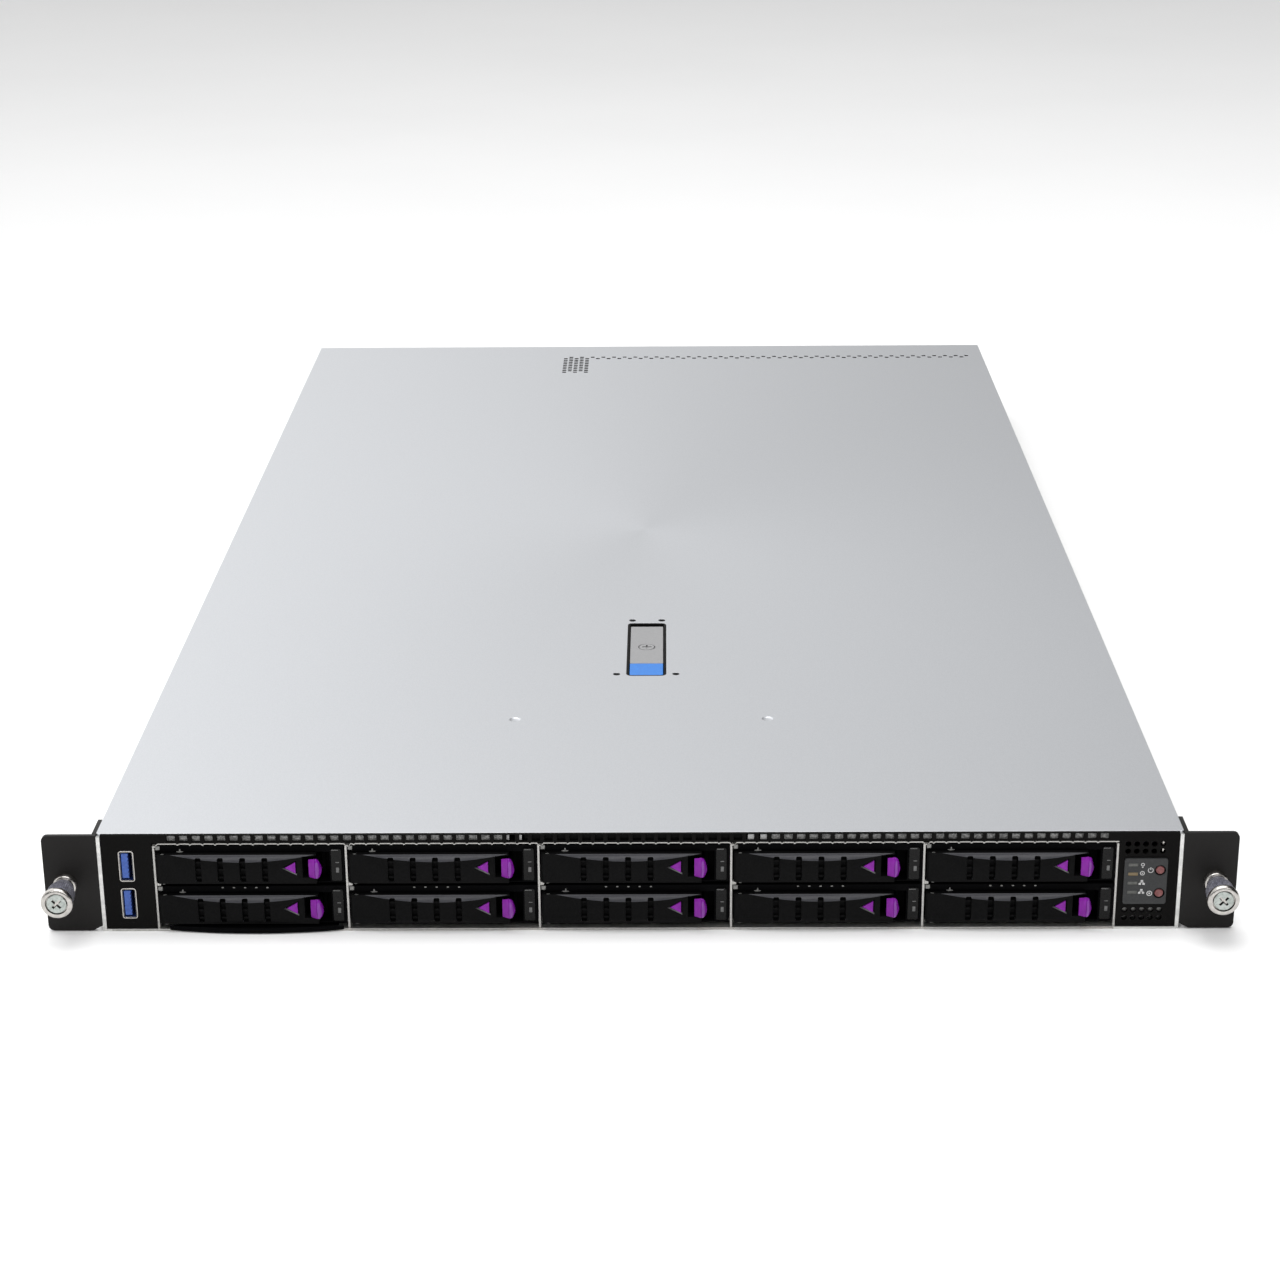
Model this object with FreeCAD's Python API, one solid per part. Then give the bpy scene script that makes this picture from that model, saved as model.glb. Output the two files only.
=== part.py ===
import FreeCAD, Part
import math
import os

# A one-unit rack server with ten hot-swap drives, modelled closed.
# Millimetres. X runs along the front from left to right, Y from front to rear, Z up.
# The origin is the middle of the underside of the chassis.

# ---------------------------------------------------------------- overall
body_depth = 770.0
floor_sheet = 1.0
side_sheet = 1.5
rear_sheet = 1.2
cover_sheet = 1.0
fit_gap = 0.3               # between pieces that are put in by hand

front = -body_depth / 2
rear = body_depth / 2

# ---------------------------------------------------------------- drive bays
bay_columns = 5
bay_rows = 2
drive_width = 69.85         # a 2.5-inch drive in its carrier
drive_length = 100.2
drive_height = 14.8
carrier_rail = 3.175        # width of the rail on each side of a drive
carrier_side_gap = 0.35
carrier_gap = 0.3           # above and below a carrier in its bay
carrier_spare = 1.9         # height of a carrier past its drive
left_panel = 21.3           # from the side wall to the middle of the first divider
right_panel = 24.7          # from the last divider to the side wall
vent_strip = 3.0            # from the cage's roof to the cover's underside
cage_sheet = 0.8
divider_sheet = 0.9
cage_floor_z = 2.2
cage_set_back = 0.5         # cage edges behind the front plane
cage_depth = 117.5
runner_width = 2.2
runner_start = 13.0         # from the cage's front edge
runner_end = 6.0            # from the cage's rear edge
backplane_top_gap = 0.4     # under the cage's top
air_window_width = 52.0
air_window_height = 6.6
air_window_drop = 1.0       # below the floor line of the upper bays
receptacle_width = 42.0
receptacle_height = 5.4
receptacle_rise = 1.8       # above the floor of its bay

bay_pitch = drive_width + 2 * (carrier_rail + carrier_side_gap) + divider_sheet
bay_height = drive_height + carrier_spare + 2 * carrier_gap
bay_floor_z = cage_floor_z + cage_sheet
bay_step = bay_height + cage_sheet
cage_top_z = bay_floor_z + bay_rows * bay_step
cage_front = front + cage_set_back
cage_rear = cage_front + cage_depth
cover_under = cage_top_z + vent_strip
body_height = cover_under + cover_sheet
side_in = (left_panel + bay_columns * bay_pitch + right_panel) / 2
body_width = 2 * (side_in + side_sheet)
bays_left = left_panel - side_in
bays_right = side_in - right_panel

# ---------------------------------------------------------------- front frame
frame_sheet = 1.2
frame_bottom = 1.6
frame_return = 9.0
vent_width = 3.4
vent_height = 2.8
vent_pitch = 5.08
vent_top_border = 0.35
vent_row_margin = 3.8       # from the outermost dividers to the row of vents
vent_row_shift = 0.9        # middle of the row right of the middle of the bays
usb_width = 5.7
usb_height = 13.1
usb_depth = 16.0
usb_wall = 0.5
usb_from_side = 10.1        # from the side wall to the sockets' middle
usb_drop = 0.6              # middle of the pair below mid-height
usb_step = 16.6             # from socket to socket
usb_tongue_thick = 1.9
usb_tongue_length = 12.0
usb_tongue_margin = 0.7     # above and below the tongue, inside the shell
usb_tongue_side = 0.3       # from the shell's left wall
usb_back_wall = 1.5
usb_bezel = 0.3             # shell flange round each mouth
usb_proud = 0.3             # flange ahead of the front plane
usb_hole_gap = 0.1          # between a shell and the frame

usb_x = usb_from_side - side_in
usb_upper_z = body_height / 2 - usb_drop + usb_step / 2
usb_lower_z = usb_upper_z - usb_step

# ---------------------------------------------------------------- control panel
panel_from_side = 13.2
panel_rise = 0.1            # middle of the panel above mid-height
panel_width = 17.4
panel_height = 20.2
panel_thick = 0.9
panel_lip = 1.2             # plate past its neck on every side
panel_neck_gap = 0.2        # between the neck and the frame
module_width = 19.2
module_depth = 14.0
button_across = 5.8         # right of the panel's middle
power_rise = 4.9            # above the panel's middle
id_drop = 5.3               # below it
button_radius = 1.7
button_length = 6.0
button_gap = 0.2
button_travel = 0.8
lamp_width = 4.0
lamp_height = 1.5
lamp_recess = 0.4
lamp_across = 5.1           # left of the panel's middle
lamp_rise = 7.3             # top lamp above it
lamp_pitch = 4.05
lamp_count = 4
panel_hole = 2.3
panel_hole_pitch = 3.5
panel_hole_count = 5
panel_hole_across = 7.5     # first hole left of the panel's middle
panel_hole_rise = (16.2, 13.0, -13.2, -16.7)    # rows of holes from the panel's middle

panel_x = side_in - panel_from_side
panel_z = body_height / 2 + panel_rise
button_x = panel_x + button_across
power_z = panel_z + power_rise
id_z = panel_z - id_drop

# ---------------------------------------------------------------- rack ears
ear_width = 22.3            # past the side of the body; 482.6 over both ears, a 19-inch panel
ear_sheet = 2.0
ear_margin = 0.4            # above and below the ear
ear_corner = 3.0
ear_notch_width = 4.0
ear_notch_height = 2.2
ear_flange_top = 16.0       # length of the flange along its top edge
ear_flange_length = 38.0
ear_flange_slope = 12.0
screw_from_side = 13.55     # 465.1 between both screw axes, as in a 19-inch rack

rack_width = body_width + 2 * ear_width
rack_hole_spacing = body_width + 2 * screw_from_side
ear_height = body_height - 2 * ear_margin

# ---------------------------------------------------------------- thumbscrews
ferrule_radius = 4.9
ferrule_front = 4.5
knob_radius = 5.7
knob_rim_radius = 6.5
knob_rim_length = 2.6
knob_facets = 18
knob_reach = 19.0           # from the ear's front face to the knob's front face
screw_radius = 2.4
screw_shank_radius = 3.0
screw_gap = 0.1
screw_tail = 6.0            # past the back of the ear
phillips_width = 0.9
phillips_span = 4.4
phillips_depth = 1.4

# ---------------------------------------------------------------- information tag
tag_width = 66.0
tag_lip_width = 71.4
tag_thick = 0.9
tag_length = 62.0
tag_lip_reach = 3.4         # from the front plane
tag_lip_gap = 0.3           # from the front plane to the back of the lip
tag_lip_bottom = 0.6
tag_lip_thick = 2.2
tag_set_back = 0.6          # front edge of the card behind the front plane
tag_shift = 1.3             # middle of the tag from the middle of the first bay
tag_gap = 0.15              # above and below the card

# ---------------------------------------------------------------- drive carriers
bezel_front = 0.8           # bezel face behind the front plane
bezel_depth = 10.0
bezel_floor = 0.5
bezel_roof = 3.0
lever_gap = 0.15
rail_height = 12.0
bezel_wall = 2.2            # behind the lever's pocket
light_width = 3.4
light_rise = 1.0            # window above the carrier's underside
light_drop = 1.5            # window below the carrier's top
light_inset = 1.5           # from the bezel's right side
light_proud = 0.7
rail_short = 2.0            # rails end ahead of the drive's rear end
bracket_past_pin = 2.4      # hinge brackets, right of the pin's middle
bracket_reach = 1.6         # and ahead of it
bezel_air_left = 12.0       # air window in the bezel's back, from each divider's middle
bezel_air_right = 20.0
bezel_air_rise = 3.5        # above the bezel's underside
bezel_air_margin = 2.0      # below the top of the lever's pocket

# ---------------------------------------------------------------- levers
lever_front = 3.0           # lever face ahead of the front plane
lever_thick = 5.2
lever_left = 1.0            # from the divider's middle
lever_end = 12.0            # from the lever's free end to the next divider's middle
scoop_left = 7.0
scoop_end = 0.6             # from the scoop to the lever's free end
scoop_height = 2.75
scoop_depth = 2.1
scoop_facets = 4
lever_slots = 4
slot_first = 17.6
slot_pitch = 9.0
slot_width = 2.4
slot_depth = 2.6
slot_margin = 1.2
arrow_from_end = 7.8
arrow_length = 6.2
arrow_height = 6.6
arrow_depth = 0.5
arrow_rise = 7.3            # middle of the arrow above the lever's underside
button_pocket = 5.5         # deep into the lever's free end
pocket_floor = 2.8          # lever under the button's pocket
pocket_roof = 0.7           # and over it
pocket_past_lever = 5.2     # bezel pocket past the lever's free end
pivot_pin_radius = 1.0
pivot_gap = 0.2

lever_height = bay_height - 2 * carrier_gap - bezel_floor - bezel_roof - 2 * lever_gap
lever_right = bay_pitch - lever_end
pocket_right = lever_right + pocket_past_lever

# ---------------------------------------------------------------- release buttons
release_overlap = 3.2       # left edge inside the lever's free end
release_ridge_in = 0.2      # ridge inside the lever's free end
release_past = 2.9          # right edge past the lever's free end
release_gap = 0.3           # above and below, in the lever's pocket
release_proud = 1.4         # ridge ahead of the lever face
release_left_in = 0.4       # left edge behind the lever face
release_shoulder_across = 1.6       # from the ridge to the shoulder
release_shoulder_fall = 0.7
release_right_in = 1.8      # right edge behind the lever face
release_corner_width = 2.6
release_corner_height = 3.4
release_back_in = 0.8       # ahead of the lever's back
release_shoe = 1.2
release_stem = 3.0

release_height = lever_height - pocket_floor - pocket_roof - 2 * release_gap

# ---------------------------------------------------------------- top cover and latch
cover_set_back = 1.4
cover_flange = 9.0
cover_flange_start = 24.0
cover_flange_end = 24.0
guide_pin_radius = 1.6
guide_pin_length = 2.6
guide_pin_drop = 5.6        # below the cover's underside
guide_pin_front = 170.0     # from the front
guide_pin_back = 230.0      # from the rear
guide_slot_gap = 0.4
dimple_radius = 2.4
dimple_depth = 0.35
dimple_x = 56.0
dimple_y = 120.0
roof_vent = 2.8
roof_vent_pitch = 9.0
roof_vent_row_step = 3.0
roof_vent_from_rear = 29.0
roof_vent_left = -37.5
roof_vent_end = 7.5         # from the last vent to the side wall
roof_block_columns = 3
roof_block_rows = 4
roof_block_left = -57.0
roof_block_pitch_x = 7.0
roof_block_pitch_y = 9.6

guide_pin_places = (guide_pin_front, body_depth - guide_pin_back)

latch_x = 1.9
latch_width = 18.5
latch_front = 172.4
latch_length = 69.6
latch_corner = 2.2
latch_border = 1.0
latch_tub_depth = 6.4
latch_tub_wall = 1.2
latch_flange = 6.5
latch_flange_sheet = 1.0
latch_peg_radius = 1.3
latch_peg_gap = 0.1
latch_peg_front = (13.7, 2.3)
latch_peg_rear = (7.1, 73.3)
latch_peg_recess = 0.15     # peg tops below the cover's top
latch_recess = 0.3          # tops of the latch's pieces below the cover
latch_gap = 0.25            # between the latch's pieces and their tub
handle_thick = 2.2
handle_rib = 1.6
release_pad_length = 15.5
release_post_radius = 1.5
hinge_from_rear = 4.2
hinge_drop = 2.9
hinge_pin_radius = 1.2
hinge_gap = 0.1
lock_radius = 3.7
lock_stem_radius = 1.5
lock_y = 210.5
lock_depth = 1.2
lobe_width = 6.0
lobe_reach = 7.6
lobe_thick = 2.2
lobe_side_gap = 1.0         # tub's floor slot round the lobe
lobe_front_gap = 2.0
lobe_rear_gap = 1.5
lock_slot_span = 5.2
lock_slot_width = 0.9
lock_slot_depth = 0.7

# ---------------------------------------------------------------- crossbar under the cover
beam_from_hinge = 8.2       # from the latch's hinge forward to the bar's rear face
beam_depth = 11.0
beam_sheet = 1.2
beam_height = 16.0
beam_notch_gap = 2.0

beam_rear = latch_front + latch_length - hinge_from_rear - beam_from_hinge

# ---------------------------------------------------------------- fans
fan_count = 6
fan_headroom = 1.2          # under the cover
fan_depth = 28.0
fan_pitch = 66.0
fan_front = 138.0
fan_duct_wall = 1.3
fan_tip_gap = 1.5           # to the middle of the flat blade tips; their corners come closer
fan_hub_radius = 9.6
fan_blades = 5
fan_blade_thick = 1.1
fan_blade_pitch_deg = 42.0
fan_blade_chord = 15.0
fan_motor_depth = 4.0
fan_strut_width = 2.6
fan_strut_depth = 2.4
fan_running_gap = 0.3
fan_hub_depth = 19.0

fan_size = cover_under - floor_sheet - fan_headroom
fan_duct_radius = fan_size / 2 - fan_duct_wall
fan_blade_tip = fan_duct_radius - fan_tip_gap

# ---------------------------------------------------------------- motherboard
board_sheet = 1.6
standoff_height = 4.6
standoff_radius = 3.0
standoff_inset = 9.9        # from the board's side edges
standoff_inner = 60.5       # inner rows from the centreline
standoff_rear_row = 59.4    # from the body's rear
board_front = 204.0
board_rear_gap = 1.0
board_past_psu = 30.0       # step in the board, ahead of the power supplies
board_beside_psu = 5.0
board_side_gap = 2.6
socket_height = 6.0
processor_size = 62.0
processor_y = 333.0
processor_height = 5.6
memory_count = 6            # modules in each bank
memory_pitch = 8.4
memory_socket_width = 6.2
memory_socket_length = 142.0
memory_length = 133.35
memory_headroom = 2.5       # under the cover
memory_thick = 2.6
memory_bank_gap = 6.0       # from a heat sink to the nearest module
memory_edge_gap = 9.8       # from the outer sockets to the board's edge
memory_middle_gap = 29.8    # between the inner banks
sink_length = 112.0
sink_base = 4.0
sink_headroom = 4.2         # under the cover
sink_fins = 12
sink_fin_sheet = 0.8
riser_x = 118.0
riser_length = 150.0
riser_headroom = 5.0
riser_from_rear = 180.0
riser_sheet = 1.6
riser_card_inset = 3.0      # card's ends inside the foot's ends
riser_foot_width = 8.0
riser_foot_height = 9.0
card_slot_reach = 8.2
card_slot_length = 89.0
card_slot_inset = 12.0
card_slot_rise = 15.0       # above the board
card_slot_height = 8.0

# ---------------------------------------------------------------- rear sockets
rj45_width = 16.0
rj45_height = 13.6
rj45_depth = 21.0
rj45_mouth_width = 11.8
rj45_mouth_height = 8.2
rj45_mouth_depth = 14.0
rj45_across = (14.8, 56.8, 74.8)    # from the board's left edge by the power supplies
usb_stack_across = 35.8
usb_stack_width = 14.6
usb_stack_height = 15.6
usb_stack_depth = 18.0
usb_stack_mouth_width = 12.6
usb_stack_mouth_height = 13.6
usb_stack_mouth_depth = 9.0
vga_across = 104.8
vga_width = 31.0
vga_height = 12.4
vga_shell_width = 16.6
vga_shell_height = 7.9
vga_shell_reach = 5.4
vga_depth = 12.0
socket_reach = 0.8          # past the outside of the rear wall

# ---------------------------------------------------------------- rear slot covers
slot_cover_margin = 9.5     # from the outer cover to the side wall
slot_cover_width = 68.0
slot_cover_gap = 6.0
slot_cover_count = 2
slot_cover_bottom = 20.0
slot_cover_height = 17.0
slot_cover_proud = 0.8
slot_cover_vents = 6
slot_cover_vent = 12.0
rear_vent_width = 5.0
rear_vent_pitch = 9.0
low_vents = 10
low_vent_margin = 26.0
low_vent_bottom = 7.6
low_vent_height = 9.0

slot_cover_run = slot_cover_count * (slot_cover_width + slot_cover_gap) - slot_cover_gap
slot_cover_left = side_in - slot_cover_margin - slot_cover_run

# ---------------------------------------------------------------- power supplies
psu_length = 185.0
psu_headroom = 1.4          # under the cover
psu_lift = 0.2              # above the floor
psu_gap = 2.5               # between the two
psu_side_gap = 2.2
psu_face_reach = 1.6        # face past the rear wall
inlet_width = 24.0
inlet_height = 17.0
inlet_depth = 15.0
inlet_margin = 6.0          # from the casing's left side
inlet_z = 12.5
pin_width = 2.0
pin_height = 4.0
pin_length = 11.0
pin_places = ((-7.0, 1.5), (7.0, 1.5), (0.0, -2.5))     # from the inlet's middle
psu_fan_radius = 15.5
psu_fan_gap = 4.5           # from the inlet to the fan's grille
psu_fan_margin = 8.0        # from the grille to the casing's right side
psu_fan_recess = 2.0
psu_grille_bars = 2
psu_grille_bar = 1.4
psu_grille_recess = 0.4
handle_width = 30.0
handle_reach = 22.0
handle_rod = 3.4
handle_rise = 27.0          # above the casing's underside
handle_shift = 1.0          # right of the inlet's middle
psu_tab_width = 5.5
psu_tab_margin = 2.0        # from the casing's right side
psu_tab_rise = 3.0
psu_tab_thick = 2.0
psu_tab_reach = 12.0

psu_width = inlet_margin + inlet_width + psu_fan_gap + 2 * psu_fan_radius + psu_fan_margin
psu_height = cover_under - floor_sheet - psu_lift - psu_headroom
psu_pitch = psu_width + psu_gap

# ---------------------------------------------------------------- places on the board
board_top = floor_sheet + standoff_height + board_sheet
board_edge = side_in - board_side_gap
board_left = psu_side_gap - side_in + psu_pitch + psu_width + board_beside_psu
board_step = body_depth - psu_length - board_past_psu
bank_width = (memory_count - 1) * memory_pitch + memory_socket_width
sink_side_gap = memory_bank_gap - memory_socket_width / 2
sink_width = (board_edge - memory_edge_gap - memory_middle_gap / 2
              - 2 * bank_width - 2 * sink_side_gap)
sink_top = cover_under - sink_headroom
processor_x = memory_middle_gap / 2 + bank_width + sink_side_gap + sink_width / 2
rj45_places = [board_left + across for across in rj45_across]
usb_stack_x = board_left + usb_stack_across
vga_x = board_left + vga_across
memory_height = cover_under - memory_headroom - board_top - socket_height


# ================================================================ shape helpers
def vec(x, y, z):
    return FreeCAD.Vector(x, y, z)


def box(x0, x1, y0, y1, z0, z1):
    """A block between two corners."""
    return Part.makeBox(x1 - x0, y1 - y0, z1 - z0, vec(x0, y0, z0))


def rod(radius, start, end):
    """A cylinder from one point to another."""
    along = end - start
    return Part.makeCylinder(radius, along.Length, start, along)


def prism(points, push):
    """A closed polygon pushed along a vector."""
    wire = Part.makePolygon(points + [points[0]])
    return Part.Face(wire).extrude(push)


def fuse(shapes):
    """One solid from shapes that touch or overlap."""
    whole = shapes[0].fuse(shapes[1:]) if len(shapes) > 1 else shapes[0]
    return whole.removeSplitter()


def cut(shape, tools):
    return shape.cut(Part.makeCompound(tools))


def peg(sides, radius, start, end):
    """A many-sided pin from one point to another."""
    along = end - start
    across = vec(radius, 0, 0) if abs(along.z) > abs(along.x) + abs(along.y) else vec(0, 0, radius)
    turn = FreeCAD.Rotation(along, 360 / sides)
    points = []
    for _ in range(sides):
        points.append(start + across)
        across = turn.multVec(across)
    return prism(points, along)


def nipped_block(x0, x1, y0, y1, z0, z1, nip):
    """A block whose upright edges are cut off at 45 degrees."""
    points = [vec(x0 + nip, y0, z0), vec(x1 - nip, y0, z0), vec(x1, y0 + nip, z0), vec(x1, y1 - nip, z0),
              vec(x1 - nip, y1, z0), vec(x0 + nip, y1, z0), vec(x0, y1 - nip, z0), vec(x0, y0 + nip, z0)]
    return prism(points, vec(0, 0, z1 - z0))


X_AXIS = vec(1, 0, 0)
Y_AXIS = vec(0, 1, 0)
Z_AXIS = vec(0, 0, 1)


# ================================================================ chassis
def psu_left(index):
    return -side_in + psu_side_gap + index * psu_pitch


def guide_pins():
    """Pins on the inside of the side walls that place the cover lengthwise."""
    z = cover_under - guide_pin_drop
    pins = []
    for side in (-1, 1):
        for place in guide_pin_places:
            start = vec(side * side_in, front + place, z)
            pins.append(peg(8, guide_pin_radius, start, start - vec(side * guide_pin_length, 0, 0)))
    return pins


def standoff_places():
    places = []
    outer = board_edge - standoff_inset
    for x in (-outer, -standoff_inner, standoff_inner, outer):
        places.append((x, board_front + standoff_inset))
        places.append((x, board_step - standoff_inset))
    for x in (board_left + 2 * standoff_inset, outer):
        places.append((x, body_depth - standoff_rear_row))
    return places


def crossbar():
    """Sheet-metal bar that ties the side walls and gives the latch its push face."""
    y1 = front + beam_rear
    y0 = y1 - beam_depth
    web = box(-side_in, side_in, y1 - beam_sheet, y1, cover_under - beam_height, cover_under)
    lid = box(-side_in, side_in, y0, y1, cover_under - beam_sheet, cover_under)
    reach = latch_width / 2 + latch_flange + beam_notch_gap
    notch_z = cover_under - latch_tub_depth - beam_notch_gap
    notches = [box(latch_x - reach, latch_x + reach, y0 - 1, y1 + 1, notch_z, cover_under + 1)]
    for side in (-1, 1):
        inner = side * (side_in - 2 * fit_gap - cover_sheet)
        notches.append(box(min(inner, side * side_in), max(inner, side * side_in), y0 - 1, y1 + 1,
                           cover_under - cover_flange - fit_gap, cover_under + 1))
    return cut(fuse([web, lid]), notches)


def rear_openings():
    """Cut-outs in the rear wall for the power supplies, sockets and air."""
    y0 = rear - rear_sheet - 1
    y1 = rear + 1
    tools = []
    for index in range(2):
        x0 = psu_left(index) - fit_gap
        tools.append(box(x0, x0 + psu_width + 2 * fit_gap, y0, y1, floor_sheet, cover_under - fit_gap))
    sockets = [(x, rj45_width, rj45_height) for x in rj45_places]
    sockets.append((usb_stack_x, usb_stack_width, usb_stack_height))
    sockets.append((vga_x, vga_width, vga_height))
    for x, width, height in sockets:
        half = width / 2 + fit_gap
        tools.append(box(x - half, x + half, y0, y1, board_top - fit_gap, board_top + height + fit_gap))
    for cover in range(slot_cover_count):
        left = slot_cover_left + cover * (slot_cover_width + slot_cover_gap)
        run = (slot_cover_vents - 1) * rear_vent_pitch
        for k in range(slot_cover_vents):
            x = left + slot_cover_width / 2 - run / 2 + k * rear_vent_pitch
            z = slot_cover_bottom + slot_cover_height / 2
            tools.append(box(x - rear_vent_width / 2, x + rear_vent_width / 2, y0, y1,
                             z - slot_cover_vent / 2, z + slot_cover_vent / 2))
    for k in range(low_vents):
        x = slot_cover_left + low_vent_margin + k * rear_vent_pitch
        tools.append(box(x, x + rear_vent_width, y0, y1, low_vent_bottom, low_vent_bottom + low_vent_height))
    return tools


def rear_wall():
    """Riveted rear panel with its slot covers and cut-outs."""
    parts = [box(-side_in, side_in, rear - rear_sheet, rear, floor_sheet, cover_under)]
    for cover in range(slot_cover_count):
        x0 = slot_cover_left + cover * (slot_cover_width + slot_cover_gap)
        z0 = slot_cover_bottom
        parts.append(box(x0, x0 + slot_cover_width, rear, rear + slot_cover_proud,
                         z0, z0 + slot_cover_height))
    return cut(fuse(parts), rear_openings())


def chassis_base():
    """Folded tray with its standoffs and guide pins, the riveted rear wall and the crossbar."""
    half = body_width / 2
    tray = box(-half, half, front, rear, 0, cover_under)
    inside = box(-side_in, side_in, front - 1, rear + 1, floor_sheet, cover_under + 1)
    adds = guide_pins()
    for x, y in standoff_places():
        foot = vec(x, front + y, floor_sheet)
        adds.append(peg(6, standoff_radius, foot, foot + vec(0, 0, standoff_height)))
    return [fuse([tray.cut(inside)] + adds), rear_wall(), crossbar()]


# ================================================================ top cover
def roof_vent_hole(x, y):
    half = roof_vent / 2
    return box(x - half, x + half, front + y - half, front + y + half, cover_under - 1, body_height + 1)


def roof_vents():
    """Two staggered rows of vents by the rear edge, and a block of longer columns."""
    tools = []
    y = body_depth - roof_vent_from_rear
    count = int((side_in - roof_vent_end - roof_vent_left) // roof_vent_pitch) + 1
    for k in range(count):
        side = 0.5 if k % 2 == 0 else -0.5
        tools.append(roof_vent_hole(roof_vent_left + k * roof_vent_pitch,
                                    y + side * roof_vent_row_step))
    for column in range(roof_block_columns):
        for row in range(roof_block_rows):
            tools.append(roof_vent_hole(roof_block_left + column * roof_block_pitch_x,
                                        y - (row + 0.5 * (column % 2)) * roof_block_pitch_y))
    return tools


def latch_outline(margin, z0, z1, nip=latch_corner):
    """Block over the latch opening, grown by a margin on every side."""
    y0 = front + latch_front
    half = latch_width / 2
    return nipped_block(latch_x - half - margin, latch_x + half + margin,
                        y0 - margin, y0 + latch_length + margin, z0, z1, nip)


def latch_pegs():
    """Places of the pegs that hold the latch tub in the cover."""
    places = []
    for across, along in (latch_peg_front, latch_peg_rear):
        for side in (-1, 1):
            places.append((latch_x + side * across, front + latch_front + along))
    return places


def cover_plate():
    """Flat top of the cover with its vents, dimples and the latch opening."""
    half = body_width / 2
    y0, y1 = front + cover_set_back, rear
    plate = box(-half, half, y0, y1, cover_under, body_height)
    tools = roof_vents() + [latch_outline(0, cover_under - 1, body_height + 1)]
    for x, y in latch_pegs():
        tools.append(peg(8, latch_peg_radius + latch_peg_gap, vec(x, y, cover_under - 1),
                         vec(x, y, body_height + 1)))
    for side in (-1, 1):
        centre = vec(side * dimple_x, front + dimple_y, body_height - dimple_depth)
        tools.append(peg(10, dimple_radius, centre, centre + vec(0, 0, 1)))
    return cut(plate, tools)


def cover_flanges():
    """Folded-down sides of the cover, slotted over the guide pins."""
    reach = guide_pin_radius + guide_slot_gap
    flanges = []
    for side in (-1, 1):
        outer = side * (side_in - fit_gap)
        inner = outer - side * cover_sheet
        flange = box(min(outer, inner), max(outer, inner), front + cover_flange_start,
                     rear - cover_flange_end, cover_under - cover_flange, cover_under)
        slots = [box(side * side_in - 3, side * side_in + 3, front + place - reach, front + place + reach,
                     cover_under - cover_flange - 1, cover_under - guide_pin_drop + reach)
                 for place in guide_pin_places]
        flanges.append(cut(flange, slots))
    return flanges


# ================================================================ cover latch
def hinge_centre():
    y = front + latch_front + latch_length - hinge_from_rear
    return vec(latch_x, y, body_height - hinge_drop)


def latch_top():
    return body_height - latch_recess


def latch_half():
    """Half the width of the pieces that move inside the tub."""
    return latch_width / 2 - latch_tub_wall - latch_gap


def pad_rear():
    return front + latch_front + release_pad_length + latch_border


def latch_housing():
    """Plastic tub under the cover, with a flange and pegs that pass through the cover."""
    bottom = cover_under - latch_tub_depth
    skirt = latch_outline(latch_flange, cover_under - latch_flange_sheet, cover_under)
    pegs = [peg(8, latch_peg_radius, vec(x, y, cover_under - 0.2), vec(x, y, body_height - latch_peg_recess))
            for x, y in latch_pegs()]
    whole = fuse([latch_outline(0, bottom, cover_under), skirt] + pegs)
    hollow = latch_outline(-latch_tub_wall, bottom + latch_tub_wall, body_height + 1, latch_gap)
    hinge = hinge_centre()
    slot_half = lobe_width / 2 + lobe_side_gap
    slot = box(latch_x - slot_half, latch_x + slot_half,
               hinge.y - lobe_reach - lobe_front_gap, hinge.y + lobe_thick + lobe_rear_gap,
               bottom - 1, bottom + latch_tub_wall + 1)
    reach = latch_half() + latch_gap + latch_tub_wall / 2
    bore = peg(12, hinge_pin_radius + 2 * hinge_gap, hinge - vec(reach, 0, 0), hinge + vec(reach, 0, 0))
    post = release_post(fit_gap, bottom - 1)
    return cut(whole, [hollow, slot, bore, post])


def latch_handle():
    """Flat handle with a hinge barrel and the cam lobe that pushes the cover back."""
    half = latch_half()
    top = latch_top()
    hinge = hinge_centre()
    y0 = pad_rear() + fit_gap
    plate = box(latch_x - half, latch_x + half, y0, hinge.y, top - handle_thick, top)
    barrel = peg(16, top - hinge.z, hinge - vec(half, 0, 0), hinge + vec(half, 0, 0))
    reach = half + latch_gap + latch_tub_wall / 2 - 0.15
    pin = peg(12, hinge_pin_radius, hinge - vec(reach, 0, 0), hinge + vec(reach, 0, 0))
    lobe = box(latch_x - lobe_width / 2, latch_x + lobe_width / 2, hinge.y - lobe_thick / 2,
               hinge.y + lobe_thick / 2, hinge.z - lobe_reach, hinge.z)
    ribs = []
    for side in (-1, 1):
        edge = latch_x + side * half
        inner = edge - side * latch_tub_wall
        ribs.append(box(min(edge, inner), max(edge, inner), y0, hinge.y,
                        top - handle_thick - handle_rib, top - handle_thick))
    centre = vec(latch_x, front + lock_y, top)
    seat = peg(16, lock_radius + fit_gap, centre - vec(0, 0, lock_depth + 0.1), centre + vec(0, 0, 1))
    hole = peg(8, lock_stem_radius + fit_gap, centre - vec(0, 0, handle_thick + 1), centre)
    return cut(fuse([plate, barrel, pin, lobe] + ribs), [seat, hole])


def release_post(gap, bottom):
    y = (front + latch_front + latch_tub_wall + pad_rear()) / 2
    return peg(8, release_post_radius + gap, vec(latch_x, y, bottom), vec(latch_x, y, latch_top() - 1))


def latch_release():
    """Touch pad in front of the handle, on a post that slides in the tub's floor."""
    half = latch_half()
    y0 = front + latch_front + latch_tub_wall + latch_gap
    top = latch_top()
    pad = nipped_block(latch_x - half, latch_x + half, y0, pad_rear(), top - handle_thick, top, 0.8)
    return fuse([pad, release_post(0, cover_under - latch_tub_depth + 0.2)])


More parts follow.
